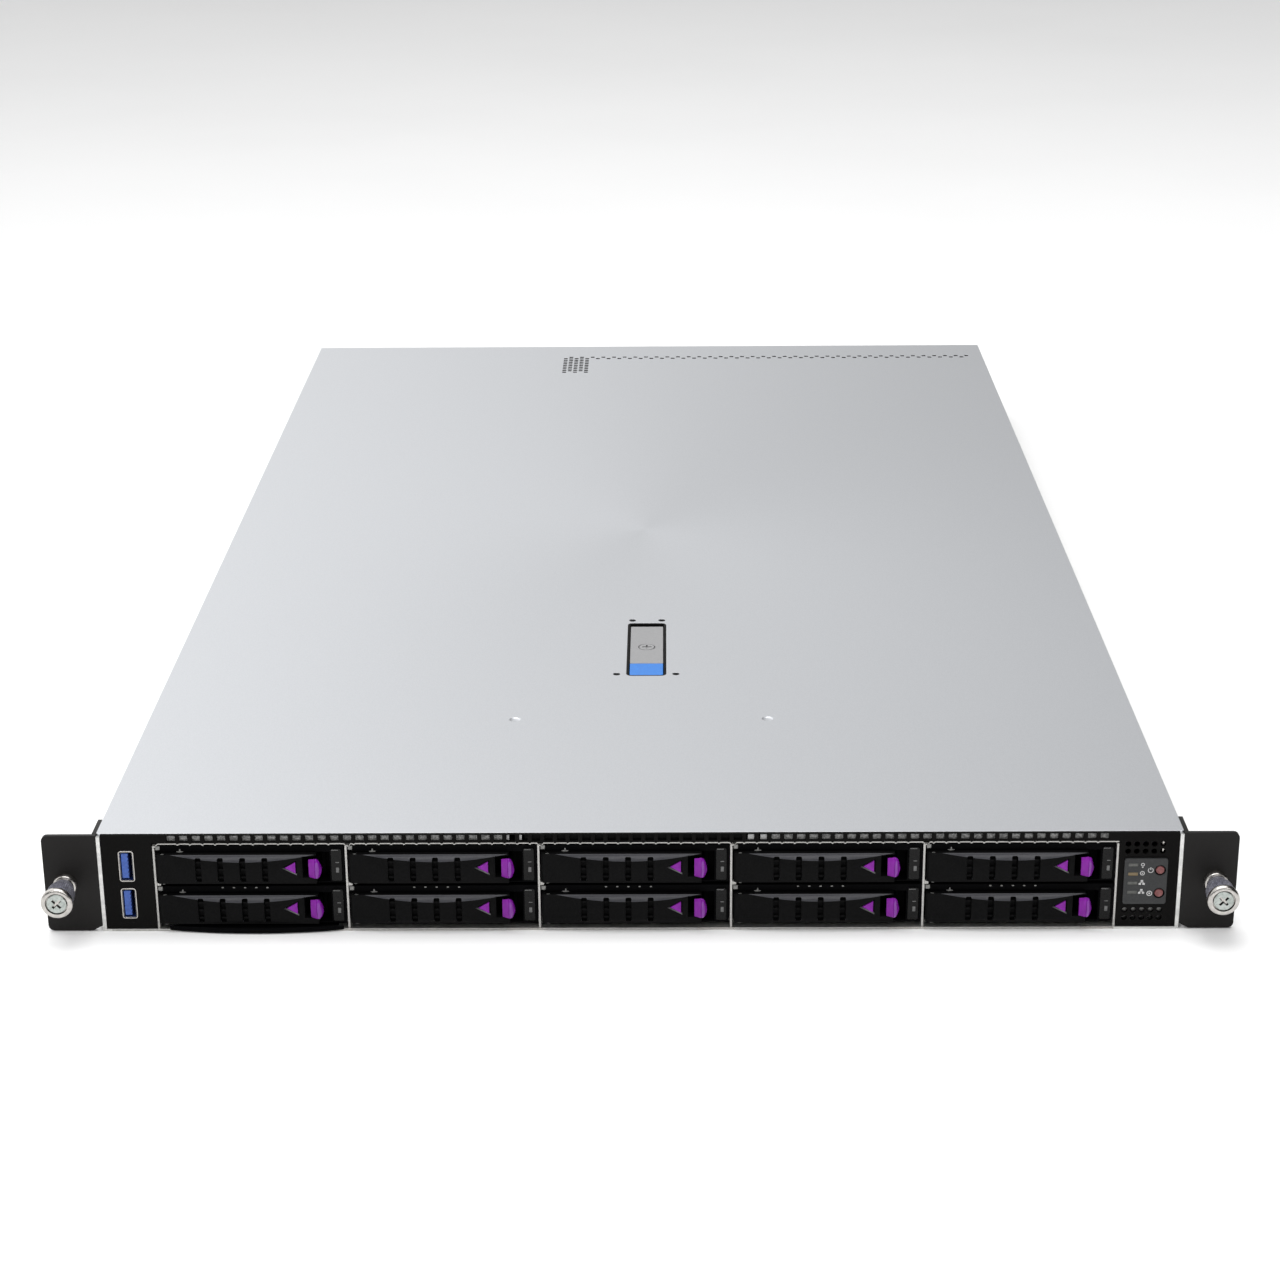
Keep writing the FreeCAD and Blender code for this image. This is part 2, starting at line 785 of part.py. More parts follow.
def latch_lock():
    """Quarter-turn lock screw in the handle."""
    centre = vec(latch_x, front + lock_y, latch_top())
    head = peg(16, lock_radius, centre - vec(0, 0, lock_depth), centre)
    stem = peg(8, lock_stem_radius, centre - vec(0, 0, handle_thick + 1.4),
               centre - vec(0, 0, lock_depth / 2))
    slot = []
    for turn in (0, 90):
        bar = box(-lock_slot_span / 2, lock_slot_span / 2, -lock_slot_width / 2, lock_slot_width / 2,
                  -lock_slot_depth, 1)
        bar.rotate(vec(0, 0, 0), Z_AXIS, turn)
        bar.translate(centre)
        slot.append(bar)
    return cut(fuse([head, stem]), slot)


# ================================================================ front frame, ports and panel
def vent_count():
    run = bay_columns * bay_pitch - 2 * vent_row_margin
    return int(run // vent_pitch)


def front_frame():
    """Black front sheet: side panels and a strip of vents over the bays."""
    y0, y1 = front, front + frame_sheet
    edge = side_in - 0.2
    sheet = box(-edge, edge, y0, y1, frame_bottom, body_height)
    returns = []
    for side in (-1, 1):
        inner = side * (edge - 1.0)
        returns.append(box(min(side * edge, inner), max(side * edge, inner), y1,
                           y0 + frame_return, frame_bottom, cover_under - 0.3))
    margin = divider_sheet / 2 + 0.1
    window = box(bays_left - margin, bays_right + margin, y0 - 1, y1 + 1,
                 frame_bottom - 1, cage_top_z + 0.1)
    tools = [window]
    top = body_height - vent_top_border
    run = (vent_count() - 1) * vent_pitch
    for k in range(vent_count()):
        x = (bays_left + bays_right - run) / 2 + vent_row_shift + k * vent_pitch
        tools.append(box(x - vent_width / 2, x + vent_width / 2, y0 - 1, y1 + 1, top - vent_height, top))
    for z in (usb_upper_z, usb_lower_z):
        half_width = usb_width / 2 + usb_hole_gap
        half_height = usb_height / 2 + usb_hole_gap
        tools.append(box(usb_x - half_width, usb_x + half_width, y0 - 1, y1 + 1,
                         z - half_height, z + half_height))
    half = panel_hole / 2
    for rise in panel_hole_rise:
        z = panel_z + rise
        for k in range(panel_hole_count):
            x = panel_x - panel_hole_across + k * panel_hole_pitch
            tools.append(box(x - half, x + half, y0 - 1, y1 + 1, z - half, z + half))
    half_width = panel_width / 2 - panel_lip + panel_neck_gap
    half_height = panel_height / 2 - panel_lip + panel_neck_gap
    tools.append(box(panel_x - half_width, panel_x + half_width, y0 - 1, y1 + 1,
                     panel_z - half_height, panel_z + half_height))
    return cut(fuse([sheet] + returns), tools)


def usb_port(z):
    """Upright USB socket: shell with a front flange, and its contact tongue."""
    x0, x1 = usb_x - usb_width / 2, usb_x + usb_width / 2
    z0, z1 = z - usb_height / 2, z + usb_height / 2
    y0 = front - usb_proud
    y_back = y0 + usb_depth - usb_back_wall
    shell = box(x0, x1, y0, y0 + usb_depth, z0, z1)
    flange = box(x0 - usb_bezel, x1 + usb_bezel, y0, front, z0 - usb_bezel, z1 + usb_bezel)
    mouth = box(x0 + usb_wall, x1 - usb_wall, y0 - 1, y_back, z0 + usb_wall, z1 - usb_wall)
    shell = fuse([shell, flange]).cut(mouth)
    tongue_x = x0 + usb_wall + usb_tongue_side
    tongue = box(tongue_x, tongue_x + usb_tongue_thick, y_back - usb_tongue_length, y_back,
                 z0 + usb_wall + usb_tongue_margin, z1 - usb_wall - usb_tongue_margin)
    return [shell, tongue]


def usb_ports():
    return usb_port(usb_upper_z) + usb_port(usb_lower_z)


def panel_places():
    return ((button_x, power_z), (button_x, id_z))


def control_panel():
    """Overlay plate with lamp windows and button holes, on the module behind the frame."""
    y0 = front - panel_thick
    plate = box(panel_x - panel_width / 2, panel_x + panel_width / 2, y0, front,
                panel_z - panel_height / 2, panel_z + panel_height / 2)
    y1 = front + frame_sheet
    half_width = panel_width / 2 - panel_lip
    half_height = panel_height / 2 - panel_lip
    neck = box(panel_x - half_width, panel_x + half_width, front, y1,
               panel_z - half_height, panel_z + half_height)
    module = box(panel_x - module_width / 2, panel_x + module_width / 2, y1, y1 + module_depth,
                 panel_z - half_height, panel_z + half_height)
    tools = []
    lamp_x = panel_x - lamp_across
    for k in range(lamp_count):
        z = panel_z + lamp_rise - k * lamp_pitch
        tools.append(box(lamp_x - lamp_width / 2, lamp_x + lamp_width / 2, y0 - 1, y0 + lamp_recess,
                         z - lamp_height / 2, z + lamp_height / 2))
    for x, z in panel_places():
        start = vec(x, y0 - 1, z)
        bore = vec(0, 2 + button_length + button_travel, 0)
        tools.append(peg(16, button_radius + button_gap, start, start + bore))
    return cut(fuse([plate, neck, module]), tools)


def panel_button(x, z):
    start = vec(x, front - panel_thick + 0.1, z)
    return peg(16, button_radius, start, start + vec(0, button_length, 0))


# ================================================================ rack ears and thumbscrews
def rack_ear(side):
    """Angle bracket: front plate with its notch, and a flange along the chassis side."""
    inner, outer = body_width / 2, rack_width / 2
    z0 = (body_height - ear_height) / 2
    z1 = z0 + ear_height
    outline = [vec(inner, front, z0 + ear_notch_height), vec(inner + ear_notch_width, front, z0),
               vec(outer, front, z0), vec(outer, front, z1), vec(inner, front, z1)]
    plate = prism(outline, vec(0, ear_sheet, 0))
    corners = [e for e in plate.Edges
               if abs(e.Vertexes[0].X - outer) < 1e-6 and abs(e.Vertexes[1].X - outer) < 1e-6
               and abs(e.Vertexes[0].Y - e.Vertexes[1].Y) > 1]
    plate = plate.makeChamfer(ear_corner / 2, corners)
    flange = prism([vec(inner, front, z0 + ear_notch_height), vec(inner, front, z1),
                    vec(inner, front + ear_flange_top, z1),
                    vec(inner, front + ear_flange_length, z1 - ear_flange_slope),
                    vec(inner, front + ear_flange_length, z0 + ear_flange_slope),
                    vec(inner, front + ear_flange_top, z0 + ear_notch_height)], vec(ear_sheet, 0, 0))
    hole = peg(16, screw_shank_radius + fit_gap, vec(rack_hole_spacing / 2, front - 1, body_height / 2),
               vec(rack_hole_spacing / 2, front + ear_sheet + 1, body_height / 2))
    ear = fuse([plate, flange]).cut(hole)
    return ear if side > 0 else ear.mirror(vec(0, 0, 0), X_AXIS)


def ferrule(side):
    """Collar on the front of the ear; the thumbscrew turns in it."""
    x, z = side * rack_hole_spacing / 2, body_height / 2
    collar = peg(16, ferrule_radius, vec(x, front - ferrule_front, z), vec(x, front, z))
    return collar.cut(peg(12, screw_shank_radius + 2 * screw_gap, vec(x, front - ferrule_front - 1, z),
                          vec(x, front + 1, z)))


def thumbscrew(side):
    """Faceted knob pressed on a screw with a cross recess."""
    x, z = side * rack_hole_spacing / 2, body_height / 2
    y_face = front - knob_reach
    y_rim = y_face + knob_rim_length
    neck_end = front - ferrule_front - fit_gap
    ear_back = front + ear_sheet
    rim = peg(20, knob_rim_radius, vec(x, y_face, z), vec(x, y_rim, z))
    grip = peg(knob_facets, knob_radius, vec(x, y_rim, z), vec(x, neck_end, z))
    shank = peg(12, screw_shank_radius, vec(x, neck_end, z), vec(x, ear_back, z))
    tail = rod(screw_radius, vec(x, ear_back, z), vec(x, ear_back + screw_tail, z))
    cross = []
    for turn in (45, 135):
        bar = box(-phillips_span / 2, phillips_span / 2, -1, phillips_depth, -phillips_width / 2,
                  phillips_width / 2)
        bar.rotate(vec(0, 0, 0), Y_AXIS, turn)
        bar.translate(vec(x, y_face, z))
        cross.append(bar)
    return cut(fuse([rim, grip, shank, tail]), cross)


# ================================================================ information tag
def info_tag():
    """Pull-out card under the first column of bays, with a bowed lip."""
    z0 = floor_sheet + tag_gap
    tag_centre = bays_left + bay_pitch / 2 + tag_shift
    card = box(tag_centre - tag_width / 2, tag_centre + tag_width / 2, front + tag_set_back,
               front + tag_length, z0, z0 + tag_thick)
    half = tag_lip_width / 2
    y = front - tag_lip_gap
    left, right = vec(tag_centre - half, y, tag_lip_bottom), vec(tag_centre + half, y, tag_lip_bottom)
    bow = Part.Arc(left, vec(tag_centre, front - tag_lip_reach, tag_lip_bottom), right).toShape()
    lip = Part.Face(Part.Wire([bow, Part.makeLine(right, left)])).extrude(vec(0, 0, tag_lip_thick))
    root = box(tag_centre - tag_width / 2, tag_centre + tag_width / 2, y - 0.05, front + 1,
               z0, z0 + tag_thick)
    return fuse([card, root, lip])


# ================================================================ drive cage and backplane
def drive_cage():
    """Riveted cage: dividers that stand on the chassis floor, bay floors, runners and a roof."""
    x1 = bays_right + divider_sheet / 2
    roof_z = cage_top_z - cage_sheet
    pieces = [box(bays_left - divider_sheet / 2, x1, cage_front, cage_rear, roof_z, cage_top_z)]
    for column in range(bay_columns + 1):
        x = bays_left + column * bay_pitch
        pieces.append(box(x - divider_sheet / 2, x + divider_sheet / 2, cage_front, cage_rear,
                          floor_sheet, roof_z))
    runner_z = bay_floor_z + bay_height
    runner_y0, runner_y1 = cage_front + runner_start, cage_rear - runner_end
    for column in range(bay_columns):
        left = bays_left + column * bay_pitch + divider_sheet / 2
        right = left + bay_pitch - divider_sheet
        pieces.append(box(left, right, cage_front, cage_rear, cage_floor_z, bay_floor_z))
        for x in (left, right - runner_width):
            pieces.append(box(x, x + runner_width, runner_y0, runner_y1, runner_z, runner_z + cage_sheet))
    return pieces


def drive_end():
    """Y of the rear end of a drive that is pushed home."""
    return front + bezel_front + bezel_depth + fit_gap + drive_length


def drive_backplane():
    """Board across the back of the cage, with air windows and one receptacle for each drive."""
    x0, x1 = bays_left, bays_right
    y0 = cage_rear
    board = box(x0, x1, y0, y0 + board_sheet, bay_floor_z, cage_top_z - backplane_top_gap)
    windows, sockets = [], []
    for column in range(bay_columns):
        for row in range(bay_rows):
            x = bays_left + (column + 0.5) * bay_pitch
            z = bay_floor_z + row * bay_step
            if row:
                top = z - air_window_drop
                windows.append(box(x - air_window_width / 2, x + air_window_width / 2,
                                   y0 - 1, y0 + board_sheet + 1, top - air_window_height, top))
            low = z + receptacle_rise
            sockets.append(box(x - receptacle_width / 2, x + receptacle_width / 2,
                               drive_end() + fit_gap, y0, low, low + receptacle_height))
    return fuse([board.cut(Part.makeCompound(windows))] + sockets)


# ================================================================ drives
def carrier_span(column):
    x = bays_left + column * bay_pitch + divider_sheet / 2 + carrier_side_gap
    return x, x + bay_pitch - divider_sheet - 2 * carrier_side_gap


def carrier_floor(row):
    return bay_floor_z + row * bay_step + carrier_gap


def pivot_place(column):
    """Middle of the lever's hinge pin, seen from above."""
    radius = lever_thick / 2
    return bays_left + column * bay_pitch + lever_left + radius, front - lever_front + radius


def drive_carrier(column, row):
    """Carrier bezel with its pocket for the lever, two rails, and the drive between them."""
    x0, x1 = carrier_span(column)
    z0 = carrier_floor(row)
    z1 = z0 + bay_height - 2 * carrier_gap
    y0 = front + bezel_front
    y1 = y0 + bezel_depth
    line = bays_left + column * bay_pitch
    bezel = box(x0, x1, y0, y1, z0, z1)
    pocket_top = z0 + bezel_floor + 2 * lever_gap + lever_height
    pocket = box(x0 - 1, line + pocket_right, y0 - 1, y1 - bezel_wall, z0 + bezel_floor, pocket_top)
    air = box(line + bezel_air_left, line + bay_pitch - bezel_air_right, y0 - 1, y1 + 1,
              z0 + bezel_air_rise, pocket_top - bezel_air_margin)
    light_x1 = x1 - light_inset
    light = box(light_x1 - light_width, light_x1, y0 - light_proud, y0 + 1,
                z0 + light_rise, z1 - light_drop)
    px, py = pivot_place(column)
    pin = peg(8, pivot_pin_radius, vec(px, py, z0 + 0.1), vec(px, py, z1 - 0.1))
    brackets = [box(x0, px + bracket_past_pin, py - bracket_reach, y0 + 1, low, high)
                for low, high in ((z0, z0 + bezel_floor), (pocket_top, z1))]
    rails = [box(x, x + carrier_rail, y1, drive_end() - rail_short, z0, z0 + rail_height)
             for x in (x0, x1 - carrier_rail)]
    frame = fuse([bezel.cut(Part.makeCompound([pocket, air])), light, pin] + brackets + rails)
    drive_z = z0 + (z1 - z0 - drive_height) / 2
    drive = box(x0 + carrier_rail, x1 - carrier_rail, y1 + fit_gap, drive_end(), drive_z,
                drive_z + drive_height)
    return [frame, drive]


def scoop(x0, x1, y, edge_z, sign):
    """Tool for the finger scoop along an edge: bowed at the lever's face, straight behind it."""
    count = scoop_facets
    deep, high = y + scoop_depth, edge_z + sign * 2
    front_edge, back_edge = [], []
    for k in range(count + 1):
        share = k / count
        x = x0 + (x1 - x0) * share
        drop = 4 * scoop_height * share * (1 - share)
        front_edge.append(vec(x, y, edge_z - sign * drop))
        back_edge.append(vec(x, deep, edge_z))
    faces = []
    for k in range(count):
        faces.append((front_edge[k], front_edge[k + 1], back_edge[k]))
        faces.append((front_edge[k + 1], back_edge[k + 1], back_edge[k]))
    outer = [vec(x1, y, high), vec(x0, y, high)]
    roof = [vec(x0, y, high), vec(x1, y, high), vec(x1, deep, high), vec(x0, deep, high)]
    faces += [tuple(front_edge + outer), tuple(back_edge + [roof[2], roof[3]]), tuple(roof),
              (front_edge[0], back_edge[0], roof[3], roof[0]),
              (front_edge[-1], back_edge[-1], roof[2], roof[1])]
    shell = Part.makeShell([Part.Face(Part.makePolygon(list(f) + [f[0]])) for f in faces])
    return Part.makeSolid(shell)


def drive_lever(column, row):
    """Pull lever: round hinge end, scooped grip with four slots, arrow recess, button pocket."""
    line = bays_left + column * bay_pitch
    z0 = carrier_floor(row) + bezel_floor + lever_gap
    z1 = z0 + lever_height
    y0 = front - lever_front
    y1 = y0 + lever_thick
    px, py = pivot_place(column)
    bar = box(px, line + lever_right, y0, y1, z0, z1)
    knuckle = peg(12, lever_thick / 2, vec(px, py, z0), vec(px, py, z1))
    scoop_right = line + lever_right - scoop_end
    tools = [scoop(line + scoop_left, scoop_right, y0, z1, 1),
             scoop(line + scoop_left, scoop_right, y0, z0, -1),
             peg(8, pivot_pin_radius + pivot_gap, vec(px, py, z0 - 1), vec(px, py, z1 + 1)),
             box(line + lever_right - button_pocket, line + lever_right + 1, y0 - 1, y1 + 1,
                 z0 + pocket_floor, z1 - pocket_roof)]
    for k in range(lever_slots):
        x = line + slot_first + k * slot_pitch
        tools.append(box(x - slot_width / 2, x + slot_width / 2, y0 - 1, y0 + slot_depth,
                         z0 + slot_margin, z1 - slot_margin))
    mid = z0 + arrow_rise
    arrow_back = line + lever_right - arrow_from_end
    arrow = [vec(arrow_back - arrow_length, y0 - 1, mid), vec(arrow_back, y0 - 1, mid + arrow_height / 2),
             vec(arrow_back, y0 - 1, mid - arrow_height / 2)]
    tools.append(prism(arrow, vec(0, 1 + arrow_depth, 0)))
    return cut(fuse([bar, knuckle]), tools)


def drive_release(column, row):
    """Thumb slide beside the lever: domed pad with a ridge, on a shoe at the back of the pocket."""
    line = bays_left + column * bay_pitch
    z0 = carrier_floor(row) + bezel_floor + lever_gap
    y_face = front - lever_front
    ridge_y = y_face - release_proud
    back = y_face + lever_thick - release_back_in
    end = line + lever_right
    left, ridge, right = end - release_overlap, end - release_ridge_in, end + release_past
    z_low = z0 + pocket_floor + release_gap
    z_high = z_low + release_height
    mid = (z_low + z_high) / 2
    outline = [vec(left, back, z_low), vec(left, y_face + release_left_in, z_low),
               vec(ridge, ridge_y, z_low),
               vec(ridge + release_shoulder_across, ridge_y + release_shoulder_fall, z_low),
               vec(right, y_face + release_right_in, z_low), vec(right, back, z_low)]
    pad = prism(outline, vec(0, 0, release_height))
    corners = []
    for z, inward in ((z_low, 1), (z_high, -1)):
        y = ridge_y - 1
        points = [vec(right - release_corner_width, y, z), vec(right + 1, y, z),
                  vec(right + 1, y, z + inward * release_corner_height)]
        corners.append(prism(points, vec(0, back + 1 - y, 0)))
    pad = cut(pad, corners)
    shoe_y = front + bezel_front + bezel_depth - bezel_wall - lever_gap
    stem = box(ridge - release_stem / 2, ridge + release_stem / 2, back - 0.5, shoe_y - release_shoe,
               mid - release_stem, mid + release_stem)
    shoe = box(left, right, shoe_y - release_shoe, shoe_y, z0, z0 + lever_height)
    return fuse([pad, stem, shoe])


# ================================================================ cooling
def fan_place(index):
    return (index - (fan_count - 1) / 2) * fan_pitch


def fan_frame(index):
    """Square fan housing with a round duct, and three struts that hold the motor base."""
    x, z = fan_place(index), floor_sheet + fan_size / 2
    y0 = front + fan_front
    y1 = y0 + fan_depth
    shell = box(x - fan_size / 2, x + fan_size / 2, y0, y1, z - fan_size / 2, z + fan_size / 2)
    shell = shell.cut(peg(16, fan_duct_radius, vec(x, y0 - 1, z), vec(x, y1 + 1, z)))
    motor = peg(2 * fan_blades, fan_hub_radius, vec(x, y1 - fan_motor_depth, z), vec(x, y1, z))
    struts = []
    for k in range(3):
        strut = box(0, fan_duct_radius + fan_duct_wall / 2, y1 - fan_strut_depth, y1,
                    -fan_strut_width / 2, fan_strut_width / 2)
        strut.rotate(vec(0, 0, 0), Y_AXIS, 90 + 120 * k)
        strut.translate(vec(x, 0, z))
        struts.append(strut)
    return fuse([shell, motor] + struts)


def fan_rotor(index):
    """Hub with raked blades; its shaft is sealed inside the motor base that it turns on."""
    x, z = fan_place(index), floor_sheet + fan_size / 2
    y1 = front + fan_front + fan_depth - fan_motor_depth - fan_running_gap
    y0 = y1 - fan_hub_depth
    hub = peg(2 * fan_blades, fan_hub_radius, vec(x, y0, z), vec(x, y1, z))
    blades = []
    for k in range(fan_blades):
        blade = box(fan_hub_radius - 2, fan_blade_tip, -fan_blade_chord / 2, fan_blade_chord / 2,
                    -fan_blade_thick / 2, fan_blade_thick / 2)
        blade.rotate(vec(0, 0, 0), X_AXIS, fan_blade_pitch_deg)
        blade.rotate(vec(0, 0, 0), Y_AXIS, 360 * (k + 0.25) / fan_blades)
        blade.translate(vec(x, (y0 + y1) / 2, z))
        blades.append(blade)
    return fuse([hub] + blades)


def processor_places():
    return ((-processor_x, front + processor_y), (processor_x, front + processor_y))


def heat_sink(x, y):
    """Base plate and straight fins along the airflow."""
    z0 = board_top + processor_height
    x0, y0 = x - sink_width / 2, y - sink_length / 2
    parts = [box(x0, x0 + sink_width, y0, y0 + sink_length, z0, z0 + sink_base)]
    step = (sink_width - sink_fin_sheet) / (sink_fins - 1)
    for k in range(sink_fins):
        left = x0 + k * step
        parts.append(box(left, left + sink_fin_sheet, y0, y0 + sink_length, z0 + sink_base, sink_top))
    return fuse(parts)


# ================================================================ motherboard
def memory_banks():
    """X of the first and last module of each bank: one bank on each side of each processor."""
    banks = []
    run = (memory_count - 1) * memory_pitch
    for centre, _ in processor_places():
        left = centre - sink_width / 2 - memory_bank_gap - run
        right = centre + sink_width / 2 + memory_bank_gap
        banks += [(left, left + run), (right, right + run)]
    return banks


def memory_places():
    return [first + k * memory_pitch for first, _ in memory_banks() for k in range(memory_count)]


def rear_socket(x, width, height, depth, mouth_width, mouth_height, mouth_depth):
    """Block on the board's rear edge with a rectangular mouth."""
    y1 = rear + socket_reach
    z0 = board_top
    body = box(x - width / 2, x + width / 2, y1 - depth, y1, z0, z0 + height)
    low = z0 + (height - mouth_height) / 2
    return body.cut(box(x - mouth_width / 2, x + mouth_width / 2, y1 - mouth_depth, y1 + 1,
                        low, low + mouth_height))


def riser():
    """Upright riser card in its foot, with one card slot on its right side."""
    y0 = rear - riser_from_rear
    foot_top = board_top + riser_foot_height
    foot = box(riser_x - riser_foot_width / 2, riser_x + riser_foot_width / 2, y0, y0 + riser_length,
               board_top, foot_top)
    side = riser_x + riser_sheet / 2
    card = box(side - riser_sheet, side, y0 + riser_card_inset, y0 + riser_length - riser_card_inset,
               foot_top, cover_under - riser_headroom)
    slot_z = board_top + card_slot_rise
    slot_y = y0 + card_slot_inset
    slot = box(side, side + card_slot_reach, slot_y, slot_y + card_slot_length,
               slot_z, slot_z + card_slot_height)
    return [foot, card, slot]


def motherboard():
    """Stepped board with processor and memory sockets, riser card and rear sockets."""
    z0 = floor_sheet + standoff_height
    z1 = board_top
    y_rear = rear - rear_sheet - board_rear_gap
    board = fuse([box(-board_edge, board_edge, front + board_front, front + board_step, z0, z1),
                  box(board_left, board_edge, front + board_front, y_rear, z0, z1)])
    parts = [board]
    for x, y in processor_places():
        half = processor_size / 2
        parts.append(box(x - half, x + half, y - half, y + half, z1, z1 + processor_height))
    y = front + processor_y
    for first, last in memory_banks():
        parts.append(box(first - memory_socket_width / 2, last + memory_socket_width / 2,
                         y - memory_socket_length / 2, y + memory_socket_length / 2, z1, z1 + socket_height))
    parts += riser()
    sockets = [rear_socket(x, rj45_width, rj45_height, rj45_depth, rj45_mouth_width,
                           rj45_mouth_height, rj45_mouth_depth) for x in rj45_places]
    sockets.append(rear_socket(usb_stack_x, usb_stack_width, usb_stack_height, usb_stack_depth,
                               usb_stack_mouth_width, usb_stack_mouth_height, usb_stack_mouth_depth))
    y1 = rear + socket_reach
    mid = z1 + vga_height / 2
    shell = box(vga_x - vga_shell_width / 2, vga_x + vga_shell_width / 2, y1, y1 + vga_shell_reach,
                mid - vga_shell_height / 2, mid + vga_shell_height / 2)
    body = box(vga_x - vga_width / 2, vga_x + vga_width / 2, y1 - vga_depth, y1, z1, z1 + vga_height)
    sockets.append(fuse([body, shell]))
    return parts + sockets


def memory_module(x):
    """Memory module standing in its socket."""
    z0 = board_top + socket_height
    y = front + processor_y
    return box(x - memory_thick / 2, x + memory_thick / 2, y - memory_length / 2, y + memory_length / 2,
               z0, z0 + memory_height)


# ================================================================ power supplies
def power_supply(index):
    """Hot-swap supply: closed casing, mains inlet, fan grille, bail handle and release tab."""
    x0 = psu_left(index)
    x1 = x0 + psu_width
    z0 = floor_sheet + psu_lift
    z1 = z0 + psu_height
    y1 = rear + psu_face_reach
    casing = box(x0, x1, rear - psu_length, y1, z0, z1)
    inlet_x = x0 + inlet_margin + inlet_width / 2
    fan_x, fan_z = x1 - psu_fan_margin - psu_fan_radius, z0 + psu_height / 2
    tools = [box(inlet_x - inlet_width / 2, inlet_x + inlet_width / 2, y1 - inlet_depth, y1 + 1,
                 z0 + inlet_z - inlet_height / 2, z0 + inlet_z + inlet_height / 2),
             peg(20, psu_fan_radius, vec(fan_x, y1 - psu_fan_recess, fan_z), vec(fan_x, y1 + 1, fan_z))]
    pins = []
    for dx, dz in pin_places:
        x, z = inlet_x + dx, z0 + inlet_z + dz
        pins.append(box(x - pin_width / 2, x + pin_width / 2,
                        y1 - inlet_depth - 1, y1 - inlet_depth + pin_length,
                        z - pin_height / 2, z + pin_height / 2))
    bars = []
    for k in range(psu_grille_bars):
        bar = box(-psu_fan_radius - 0.5, psu_fan_radius + 0.5, y1 - psu_fan_recess - 0.2,
                  y1 - psu_grille_recess,
                  -psu_grille_bar / 2, psu_grille_bar / 2)
        bar.rotate(vec(0, 0, 0), Y_AXIS, 180 * k / psu_grille_bars)
        bar.translate(vec(fan_x, 0, fan_z))
        bars.append(bar)
    handle_z = z0 + handle_rise
    left = inlet_x - handle_width / 2 + handle_shift
    outer = box(left, left + handle_width, y1 - 0.5, y1 + handle_reach, handle_z, handle_z + handle_rod)
    inner = box(left + handle_rod, left + handle_width - handle_rod, y1, y1 + handle_reach - handle_rod,
                handle_z - 1, handle_z + handle_rod + 1)
    bail = outer.cut(inner)
    tab_x = x1 - psu_tab_margin
    tab = box(tab_x - psu_tab_width, tab_x, y1 - 0.5, y1 + psu_tab_reach,
              z0 + psu_tab_rise, z0 + psu_tab_rise + psu_tab_thick)
    return fuse([casing.cut(Part.makeCompound(tools))] + pins + bars + [bail, tab])


# ================================================================ output
def all_nodes():
    nodes = {
        "chassis_base": chassis_base(),
        "top_cover": [cover_plate()] + cover_flanges(),
        "latch_housing": [latch_housing()],
        "latch_handle": [latch_handle()],
        "latch_release": [latch_release()],
        "latch_lock": [latch_lock()],
        "front_frame": [front_frame()],
        "usb_ports": usb_ports(),
        "control_panel": [control_panel()],
        "power_button": [panel_button(button_x, power_z)],
        "id_button": [panel_button(button_x, id_z)],
        "rack_ears": [rack_ear(-1), rack_ear(1)],
        "ear_ferrules": [ferrule(-1), ferrule(1)],
        "thumbscrew_left": [thumbscrew(-1)],
        "thumbscrew_right": [thumbscrew(1)],
        "info_tag": [info_tag()],
        "drive_cage": drive_cage(),
        "drive_backplane": [drive_backplane()],
        "fan_frames": [fan_frame(k) for k in range(fan_count)],
        "motherboard": motherboard(),
        "heat_sinks": [heat_sink(x, y) for x, y in processor_places()],
        "memory_modules": [memory_module(x) for x in memory_places()],
        "psu_1": [power_supply(0)],
        "psu_2": [power_supply(1)],
    }
    for index in range(fan_count):
        nodes[f"fan_rotor_{index + 1}"] = [fan_rotor(index)]
    number = 0
    for row in reversed(range(bay_rows)):
        for column in range(bay_columns):
            number += 1
            nodes[f"drive_carrier_{number:02d}"] = drive_carrier(column, row)
            nodes[f"drive_lever_{number:02d}"] = [drive_lever(column, row)]
            nodes[f"drive_release_{number:02d}"] = [drive_release(column, row)]
    return nodes


def main():
    os.makedirs("parts", exist_ok=True)
    for name, solids in all_nodes().items():
        shape = solids[0] if len(solids) == 1 else Part.makeCompound(solids)
        count = sum(len(s.Solids) for s in solids)
        if not shape.isValid() or count != len(solids):
            print("check", name, shape.isValid(), count, len(solids))
        shape.exportStep(f"parts/{name}.step")


main()
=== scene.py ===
import math
import bmesh
import bpy
from mathutils import Matrix, Vector


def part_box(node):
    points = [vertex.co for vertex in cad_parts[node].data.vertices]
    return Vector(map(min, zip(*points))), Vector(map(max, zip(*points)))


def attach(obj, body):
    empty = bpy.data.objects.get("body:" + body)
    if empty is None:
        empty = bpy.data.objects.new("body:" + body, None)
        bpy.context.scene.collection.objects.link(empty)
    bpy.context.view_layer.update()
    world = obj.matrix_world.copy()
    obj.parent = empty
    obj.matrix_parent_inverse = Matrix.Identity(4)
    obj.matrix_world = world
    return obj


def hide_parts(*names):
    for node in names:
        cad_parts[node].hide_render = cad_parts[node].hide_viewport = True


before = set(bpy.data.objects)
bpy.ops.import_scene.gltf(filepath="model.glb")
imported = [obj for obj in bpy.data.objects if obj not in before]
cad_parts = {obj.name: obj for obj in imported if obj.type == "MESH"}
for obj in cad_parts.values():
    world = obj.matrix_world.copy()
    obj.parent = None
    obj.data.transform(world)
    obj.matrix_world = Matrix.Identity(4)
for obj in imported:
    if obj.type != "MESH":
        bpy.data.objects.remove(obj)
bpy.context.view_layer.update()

# Looks of a one-unit rack server. Sizes are in millimetres and the frame is in metres.
MM = 0.001


def corners(node):
    """Lowest and highest corner of a CAD node, in millimetres."""
    low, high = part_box(node)
    return low / MM, high / MM


